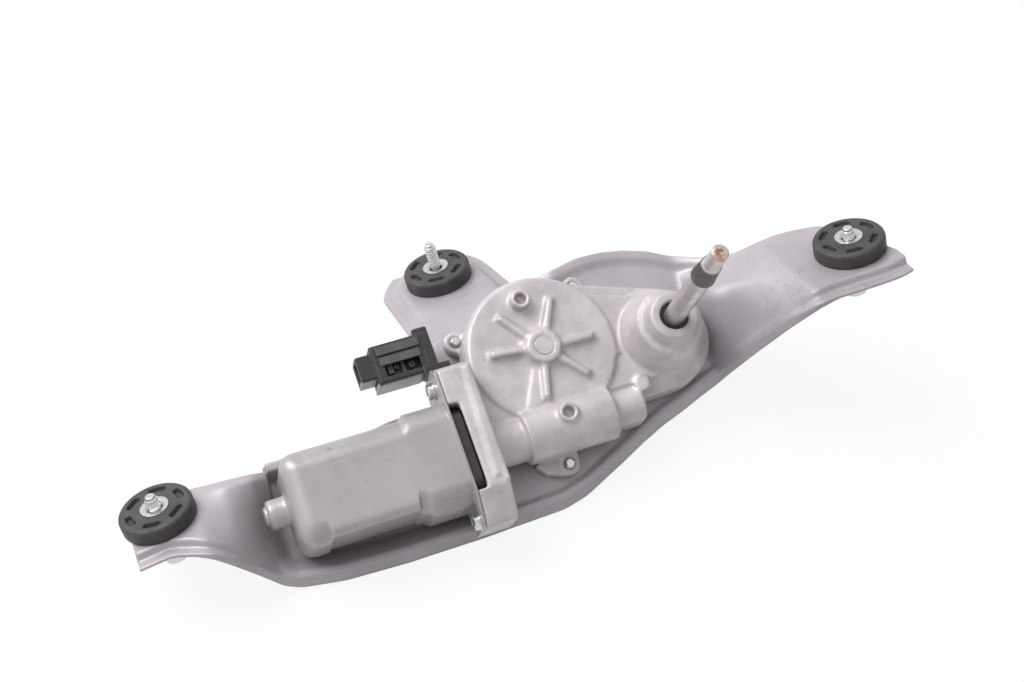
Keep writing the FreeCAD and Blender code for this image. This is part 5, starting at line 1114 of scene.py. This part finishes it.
@dataclass
class PlugSocket:
    """The connector: a black housing with an open window, a latch rail, a snout and pale sheets on its near
    sides that paint a highlight.
    """

    body: Blocks = (
        ((-139.7, 14.3, -41.5), (-110.0, 33.3, -30.2)),
        ((-139.7, 14.3, -30.4), (-110.0, 17.2, -24.5)),
        ((-139.7, 24.6, -30.4), (-110.0, 33.3, -24.5)),
        ((-139.7, 16.8, -30.4), (-134.6, 25.0, -24.5)),
        ((-114.8, 16.8, -30.4), (-110.0, 25.0, -24.5)),
        ((-117.0, 12.7, -37.6), (-110.0, 36.1, -24.6)),
        ((-111.0, 10.6, -31.0), (-104.2, 17.2, -26.2)),
    )
    snout: Blocks = (
        ((-147.2, 18.0, -27.5), (-138.2, 30.4, -25.5)),
        ((-147.2, 18.0, -38.5), (-138.2, 30.4, -35.5)),
        ((-147.2, 18.0, -36.0), (-138.2, 19.6, -27.0)),
        ((-147.2, 28.8, -36.0), (-138.2, 30.4, -27.0)),
    )
    rail: Blocks = (
        ((-136.6, 22.6, -25.2), (-116.5, 26.6, -23.9)),
        ((-137.0, 27.6, -25.0), (-116.0, 31.6, -23.2)),
        ((-133.4, 18.6, -30.6), (-130.6, 23.2, -27.4)),
        ((-126.4, 17.4, -30.6), (-124.9, 24.4, -28.2)),
    )
    ridges: Blocks = (
        ((-138.6, 14.6, -24.7), (-138.2, 32.9, -24.25)),
        ((-117.6, 13.2, -24.8), (-117.1, 35.6, -24.2)),
    )
    # Pale sheets over the near side faces of the housing and the snout: a painted highlight.
    painted_highlight: Blocks = (
        ((-139.9, 14.0, -41.5), (-118.0, 15.6, -26.6)),
        ((-147.35, 17.7, -38.5), (-139.6, 18.6, -27.2)),
    )
    posts: tuple[tuple[float, float, float], ...] = ((-121.6, 20.6, 1.7), (-129.0, 21.4, 1.2))
    floor_z: float = -30.4
    post_top: float = -27.3
    post_columns: int = 24
    body_round: tuple[float, int] = (0.8, 4)
    latch_round: tuple[float, int] = (0.18, 2)
    painted_highlight_round: tuple[float, int] = (0.4, 3)

    def blocks(self, name: str, rows: Blocks) -> bpy.types.Object:
        """Blocks between corners, joined into one object."""
        slabs = [to_row(slab(low, high)) for low, high in rows]
        return joined(name, [grid_mesh(f"{name}_{i}", grid, sharp_deg=30.0) for i, grid in enumerate(slabs)])

    def post(self, x: float, y: float, radius: float) -> bpy.types.Object:
        """A round hollow post in the window: a turned profile with a sunk top."""
        rows = filled([
            (radius, self.floor_z), (radius, self.post_top - 0.3), (radius - 0.3, self.post_top),
            (radius * 0.5, self.post_top), (radius * 0.45, self.post_top - 1.2), (0.0, self.post_top - 1.3),
        ], 0.6)
        return turned("socket_post", work_place(x, y, 0.0), rows, self.post_columns)

    def build(self) -> None:
        """Build the housing, its latch rail with the window's works, and the pale sheets of painted
        highlight on its near sides.
        """
        parts = [self.blocks("socket_body", self.body), self.blocks("socket_snout", self.snout)]
        body = soften(joined("socket_housing", parts), *self.body_round)
        seat(body, "motor_body", Coat.BLACK, "connector_housing")
        posts = [self.post(*place) for place in self.posts]
        latch = joined("socket_latch", [self.blocks("socket_rail", self.rail + self.ridges), *posts])
        seat(soften(latch, *self.latch_round), "motor_body", Coat.BLACK, look="latch")
        # Painted highlight: pale sheets on the near side faces, in a pale copy of the black plastic.
        painted_highlight = self.blocks("socket_painted_highlight", self.painted_highlight)
        seat(soften(painted_highlight, *self.painted_highlight_round), "motor_body", Coat.BLACK, look="painted_highlight")


class Side(Enum):
    """The three mounts: name, mount in the record, its height over the tab and the bolt's slip down."""

    LEFT = ("left", "left_stud", 8.1, 7.5)
    MIDDLE = ("middle", "middle_stud", 14.2, 0.0)
    RIGHT = ("right", "right_stud", 8.1, 8.8)

    def place(self) -> Place:
        """The mount's place, with its zero height at the tab's upper face."""
        mount = next(row for row in frame["record"]["mounts"] if row["name"] == self.value[1])
        axis = Vector(mount["axis"]).normalized()
        return Place(Vector(mount["pos_m"]) - axis * (self.value[2] * MM), axis)


@dataclass
class Grommet:
    """A rubber mount: a turned ring whose top carries six curved slots."""

    side: Side
    profile: Profile = (
        (5.3, -7.9), (10.6, -7.9), (11.6, -7.5), (12.0, -6.5), (12.0, -1.6), (11.0, -1.6), (11.0, 0.0),
        (16.6, 0.0), (17.1, 0.2), (17.3, 0.8), (17.3, 6.1), (17.05, 6.85), (16.55, 7.45), (15.7, 7.7),
        (6.65, 7.7), (6.65, 6.9), (5.3, 6.9), (5.3, -7.9),
    )
    row_step: float = 0.4
    top: float = 7.7
    slot_inner: float = 10.9
    slot_outer: float = 13.9
    slot_spread: float = 24.0
    slot_first: float = 15.0
    slot_depth: float = 2.2
    slot_from: float = 1.2
    slot_full: float = 0.7
    slot_wall: tuple[float, float] = (-0.35, 0.25)
    slots: int = 6
    columns: int = 240

    def sunk(self, grid: np.ndarray) -> np.ndarray:
        """Sink the slots: depth times a step of the distance to each slot's curved middle line.

        Args:
            grid: Local points of the turned ring.

        Returns:
            The changed points.
        """
        radius = np.hypot(grid[..., 0], grid[..., 1])
        pitch = FULL_TURN / self.slots
        angle = np.arctan2(grid[..., 1], grid[..., 0]) - math.radians(self.slot_first)
        off = np.abs(np.mod(angle + pitch / 2, pitch) - pitch / 2)
        middle = (self.slot_inner + self.slot_outer) / 2
        beyond = middle * np.maximum(off - math.radians(self.slot_spread / 2), 0.0)
        away = np.hypot(beyond, radius - middle) - (self.slot_outer - self.slot_inner) / 2
        on_top = smooth_step(grid[..., 2], self.top - self.slot_from, self.top - self.slot_full)
        changed = grid.copy()
        changed[..., 2] -= self.slot_depth * (1.0 - smooth_step(away, *self.slot_wall)) * on_top
        return changed

    def build(self) -> None:
        """Turn the ring, sink its slots and seat it in its tab."""
        rows = filled(self.profile, self.row_step)
        points = self.side.place().carry(self.sunk(turned_grid(rows, self.columns)))
        side = self.side.value[0]
        piece = grid_mesh(f"rubber_mount_{side}", points, sharp_deg=40.0)
        seat(piece, "motor_body", Coat.RUBBER, f"grommet_{side}")


@dataclass
class MountBolt:
    """A flange bolt with a dished hex head, a thin shank, a rolled thread and a dog point."""

    side: Side
    sleeve_low: float = -8.3
    half_hex: float = 5.0
    flange_low: float = -1.6
    profile: Profile = (
        (0.0, -6.3), (2.6, -6.3), (3.6, -6.9), (4.6, -7.0), (5.773502691896258, -6.25),
        (5.773502691896258, -1.6), (6.25, -1.6), (6.6, -1.3), (6.6, -0.6), (5.7, 0.0), (2.7, 0.0),
        (2.7, 17.0), (3.0, 17.02), (3.0, 28.0), (2.3, 28.7), (2.2, 29.7), (1.9, 30.0), (0.0, 30.0),
    )
    thread: Thread = Thread(17.0, 28.4, 1.4, 0.55)
    row_step: float = 0.125
    columns: int = 72

    def build(self) -> None:
        """Turn the profile, heights from the head's bearing face, with flats on the head and a thread."""
        under = self.sleeve_low - self.side.value[3]
        turns = under / self.thread.pitch * FULL_TURN

        def ripple(radius: np.ndarray, height: np.ndarray, angle: np.ndarray) -> np.ndarray:
            """Head flats r = half / cos(a mod 60 - 30), and the thread above the shank."""
            flat = self.half_hex / np.cos(np.mod(angle, math.pi / 3) - math.pi / 6)
            head = np.where(height < under + self.flange_low - 0.01, np.minimum(radius, flat), radius)
            return self.thread.ripple(head, height - under, angle - turns)

        side = self.side.value[0]
        rows = filled(np.array(self.profile) + (0.0, under), self.row_step)
        piece = turned(f"flange_bolt_{side}", self.side.place(), rows, self.columns, ripple)
        seat(piece, f"{side}_bolt", Coat.ZINC, f"bolt_{side}")


@dataclass
class OutputSpindle:
    """The wiper spindle: ground shaft, knurled taper, groove and threaded end."""

    shaft: Profile = (
        (0.0, -40.5), (4.0, -40.5), (4.0, -38.0), (7.0, -38.0), (7.0, -36.8), (5.0, -36.8), (5.0, -6.7),
        (4.2, -6.7), (4.2, -5.7), (5.0, -5.7), (5.0, 45.8), (4.8, 46.4), (4.8, 48.3),
    )
    end: Profile = (
        (5.8, 49.0), (4.9, 62.0), (3.9, 63.2), (3.85, 63.6), (4.0, 64.0), (4.0, 75.8), (2.8, 77.0),
        (1.4, 77.0), (0.9, 76.1), (0.0, 75.8),
    )
    thread: Thread = Thread(64.0, 76.1, 1.25, 0.24)
    knurl_low: float = 49.0
    knurl_high: float = 62.0
    knurl_teeth: int = 44
    knurl_cut: float = 0.55
    knurl_slant: float = 2.3
    knurl_fade: float = 0.5
    columns_per_tooth: int = 6
    shaft_step: float = 1.5
    end_step: float = 0.25

    def build(self) -> None:
        """Turn the spindle: the knurl cuts r by 1 - min |sin(teeth a / 2 +- slant h)| on the taper."""

        def ripple(radius: np.ndarray, height: np.ndarray, angle: np.ndarray) -> np.ndarray:
            """Knurl between its two heights and the thread above it."""
            begins = np.clip((height - self.knurl_low) / self.knurl_fade, 0.0, 1.0)
            ends = np.clip((self.knurl_high - height) / self.knurl_fade, 0.0, 1.0)
            turn, slant = self.knurl_teeth * angle / 2.0, self.knurl_slant * height
            crest = np.minimum(np.abs(np.sin(turn + slant)), np.abs(np.sin(turn - slant)))
            cut = self.knurl_cut * (1.0 - crest) * (begins * ends)
            return self.thread.ripple(radius - cut, height, angle)

        rows = np.vstack([filled(self.shaft, self.shaft_step), filled(self.end, self.end_step)])
        columns = self.knurl_teeth * self.columns_per_tooth
        piece = turned("wiper_spindle", work_place(0.0, 0.0, 0.0), rows, columns, ripple, 50.0)
        seat(piece, "spindle", Coat.GROUND, "output_spindle")


@dataclass
class Screws:
    """Equal screws at several places, joined into one piece."""

    name: str
    node: str
    places: Sequence[Sequence[float]]
    direction: Sequence[float]
    profile: Profile
    row_step: float
    columns: int

    def ripple(self, radius: np.ndarray, height: np.ndarray, angle: np.ndarray) -> np.ndarray:
        """What changes the radii; here nothing."""
        return radius

    def build(self) -> None:
        """Turn the screw at each place and join them."""
        rows = filled(self.profile, self.row_step)
        spots = [work_place(*place, self.direction) for place in self.places]
        made = [turned(f"{self.name}_{i}", spot, rows, self.columns, self.ripple)
                for i, spot in enumerate(spots)]
        seat(joined(self.name, made), "motor_body", Coat.ZINC, self.node)


@dataclass
class CaseScrews(Screws):
    """Three thread-forming screws through the bracket into the casting's lugs."""

    name: str = "case_screws"
    node: str = "housing_screws"
    places: Sequence[Sequence[float]] = ((-62.4, -45.0, 0.0), (-95.4, 28.7, 0.0), (-28.9, 39.5, 0.0))
    direction: Sequence[float] = (0, 0, 1)
    profile: Profile = (
        (0.0, -49.35), (1.5, -49.35), (1.7, -51.45), (3.0, -51.45), (4.25, -50.05), (4.25, -48.15),
        (2.5, -48.15), (2.5, -39.6), (1.7, -38.7), (0.0, -38.7),
    )
    row_step: float = 0.15
    columns: int = 48
    thread: Thread = Thread(-47.15, -38.9, 0.8, 0.42)

    def ripple(self, radius: np.ndarray, height: np.ndarray, angle: np.ndarray) -> np.ndarray:
        """The thread's cut."""
        return self.thread.ripple(radius, height, angle)


@dataclass
class CanScrews(Screws):
    """Two screws through the can's ears, with round washered heads and a driver recess."""

    name: str = "can_screws"
    node: str = "motor_can_screws"
    places: Sequence[Sequence[float]] = ((-116.4, SHAFT_Y + 32.7, -26.0), (-116.4, SHAFT_Y - 32.7, -26.0))
    direction: Sequence[float] = (1, 0, 0)
    profile: Profile = (
        (0.0, -1.7), (1.9, -1.7), (2.0, -3.3), (2.6, -3.3), (3.6, -2.8), (3.6, -0.9), (4.25, -0.7),
        (4.25, 0.0), (2.5, 0.0), (2.5, 10.7), (2.0, 11.2), (0.0, 11.2),
    )
    row_step: float = 0.3
    columns: int = 60
    recess_r: float = 2.05
    lobe: float = 0.16

    def ripple(self, radius: np.ndarray, height: np.ndarray, angle: np.ndarray) -> np.ndarray:
        """Six lobes on the recess: r (1 + lobe cos 6a) inside the head's opening."""
        inside = (radius < self.recess_r) & (height < 0.0)
        return np.where(inside, radius * (1.0 + self.lobe * np.cos(6.0 * angle)), radius)


@dataclass
class Studio:
    """Pale floor, plain soft light and the camera of the photograph."""

    camera_place: Sequence[float] = (-267.8, -408.4, 581.1)
    camera_axes: Sequence[Sequence[float]] = (
        (0.9285, -0.3351, 0.16), (0.2694, 0.9044, 0.331), (-0.2556, -0.2642, 0.93),
    )
    lens: float = 56.25
    sensor: float = 36.0
    clip_start: float = 0.01
    clip_end: float = 50.0
    dome_axis: Sequence[float] = (-0.47, 0.48, 0.74)
    dome_lean: Sequence[float] = (-0.3, 0.95)
    dome_level: Sequence[float] = (0.12, 1.2)
    floor_half: float = 6.0
    floor_white: float = 0.88
    floor_tones: Sequence[Sequence[float]] = ((0.80, 0.80, 0.80), (0.78, 0.78, 0.785))
    floor_rough: float = 0.85
    floor_specular: float = 0.2
    key_place: Sequence[float] = (-0.80, 0.75, 1.25)
    key_aim: Sequence[float] = (-0.07, 0.0, -0.03)
    key_size: float = 1.3
    key_watts: float = 27.0

    def build(self) -> None:
        """Make the camera, the world, the floor and the lamp."""
        scene = bpy.context.scene
        scene.view_settings.view_transform = "Standard"
        self.make_camera(scene)
        self.make_world(scene)
        self.make_floor()
        self.make_key()

    def make_camera(self, scene: bpy.types.Scene) -> None:
        """Stand the camera where the photograph was taken from.

        Args:
            scene: The scene that gets the camera.
        """
        data = bpy.data.cameras.new("camera")
        data.lens = self.lens
        data.sensor_width = self.sensor
        data.clip_start = self.clip_start
        data.clip_end = self.clip_end
        camera = link(bpy.data.objects.new("camera", data))
        axes = [to_row(np.array(axis)) / MM for axis in self.camera_axes]
        turn = Matrix([Vector(axis).normalized() for axis in axes]).transposed()
        camera.matrix_world = Matrix.Translation(Vector(self.camera_place) * MM) @ turn.to_4x4()
        scene.camera = camera

    def seen_straight(self, wire: Wiring) -> Socket:
        """One for the rays that show the white background, so that metal and glass show it too.

        Args:
            wire: The tree that gets the nodes.

        Returns:
            The socket, one for camera, glossy and transmission rays.
        """
        path = wire.add("LightPath").outputs
        mirrored = wire.reckon("MAXIMUM", path["Is Glossy Ray"], path["Is Transmission Ray"])
        return wire.reckon("MAXIMUM", path["Is Camera Ray"], mirrored)

    def make_world(self, scene: bpy.types.Scene) -> None:
        """A white background where it is seen and a soft graded dome for the light.

        Args:
            scene: The scene that gets the world.
        """
        world = bpy.data.worlds.new("studio_world")
        world.use_nodes = True
        scene.world = world
        world.node_tree.nodes.clear()
        wire = Wiring(world.node_tree)
        lean = wire.dot(wire.add("TexCoord").outputs["Generated"], self.dome_axis)
        level = wire.spread(lean, *self.dome_lean, *self.dome_level)
        dome, white = (wire.add("Background", {"Color": WHITE, "Strength": power}) for power in (level, 1.0))
        seen = wire.add("MixShader", {0: self.seen_straight(wire), 1: dome.outputs[0], 2: white.outputs[0]})
        wire.feed(wire.add("OutputWorld").inputs["Surface"], seen.outputs[0])

    def make_floor(self) -> None:
        """A pale floor at the part's lowest point."""
        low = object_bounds()[0].z
        mesh = bpy.data.meshes.new("floor")
        half = self.floor_half
        corners = [(x * half, y * half, low) for x, y in ((-1, -1), (1, -1), (1, 1), (-1, 1))]
        mesh.from_pydata(corners, [], [(0, 1, 2, 3)])
        material = bpy.data.materials.new("pale_floor")
        material.use_nodes = True
        wire = Wiring(material.node_tree)
        shader = material.node_tree.nodes["Principled BSDF"]
        tone = wire.spread(wire.noise(wire.add("TexCoord").outputs["Object"], 3.0), 0.3, 0.7)
        wire.feed(shader.inputs["Base Color"], wire.mix(tone, *map(rgba, self.floor_tones)))
        wire.feed(shader.inputs["Roughness"], self.floor_rough)
        wire.feed(shader.inputs["Specular IOR Level"], self.floor_specular)
        share = wire.times(self.seen_straight(wire), self.floor_white)
        glow = wire.add("Emission", {"Color": WHITE, "Strength": 1.0})
        both = wire.add("MixShader", {0: share, 1: shader.outputs[0], 2: glow.outputs[0]})
        out = next(node for node in material.node_tree.nodes if node.type == "OUTPUT_MATERIAL")
        wire.feed(out.inputs["Surface"], both.outputs[0])
        mesh.materials.append(material)
        link(bpy.data.objects.new("floor", mesh))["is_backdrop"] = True

    def make_key(self) -> None:
        """A broad soft lamp from the upper left behind, aimed at the part."""
        data = bpy.data.lights.new("key", "AREA")
        data.shape = "DISK"
        data.size = self.key_size
        data.energy = self.key_watts
        lamp = link(bpy.data.objects.new("key", data))
        turn = (Vector(self.key_aim) - Vector(self.key_place)).to_track_quat("-Z", "Y")
        lamp.matrix_world = Matrix.Translation(Vector(self.key_place)) @ turn.to_matrix().to_4x4()


def dress_nodes() -> None:
    """Give every node of the frame the finish of its slot."""
    for row in frame["record"]["subparts"]:
        dress(frame["nodes"][row["node"]], Coat(row["material_slot"]))


def main() -> None:
    """Build the finishes, the pieces and the studio."""
    logging.basicConfig(level=logging.INFO, format="%(name)s: %(message)s")
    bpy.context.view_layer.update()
    GROUPS.update(grain=grain_group(), edge=edge_group(), scratch=scratch_group())
    MATERIALS.update({finish.look or finish.coat: finish.build() for finish in FINISHES})
    dress_nodes()
    makers = [Bracket(), Casting(), MotorCan(), PlugSocket()]
    makers += [kind(side) for side in Side for kind in (Grommet, MountBolt)]
    for maker in (*makers, OutputSpindle(), CaseScrews(), CanScrews(), Studio()):
        maker.build()


if __name__ == "__main__":
    main()
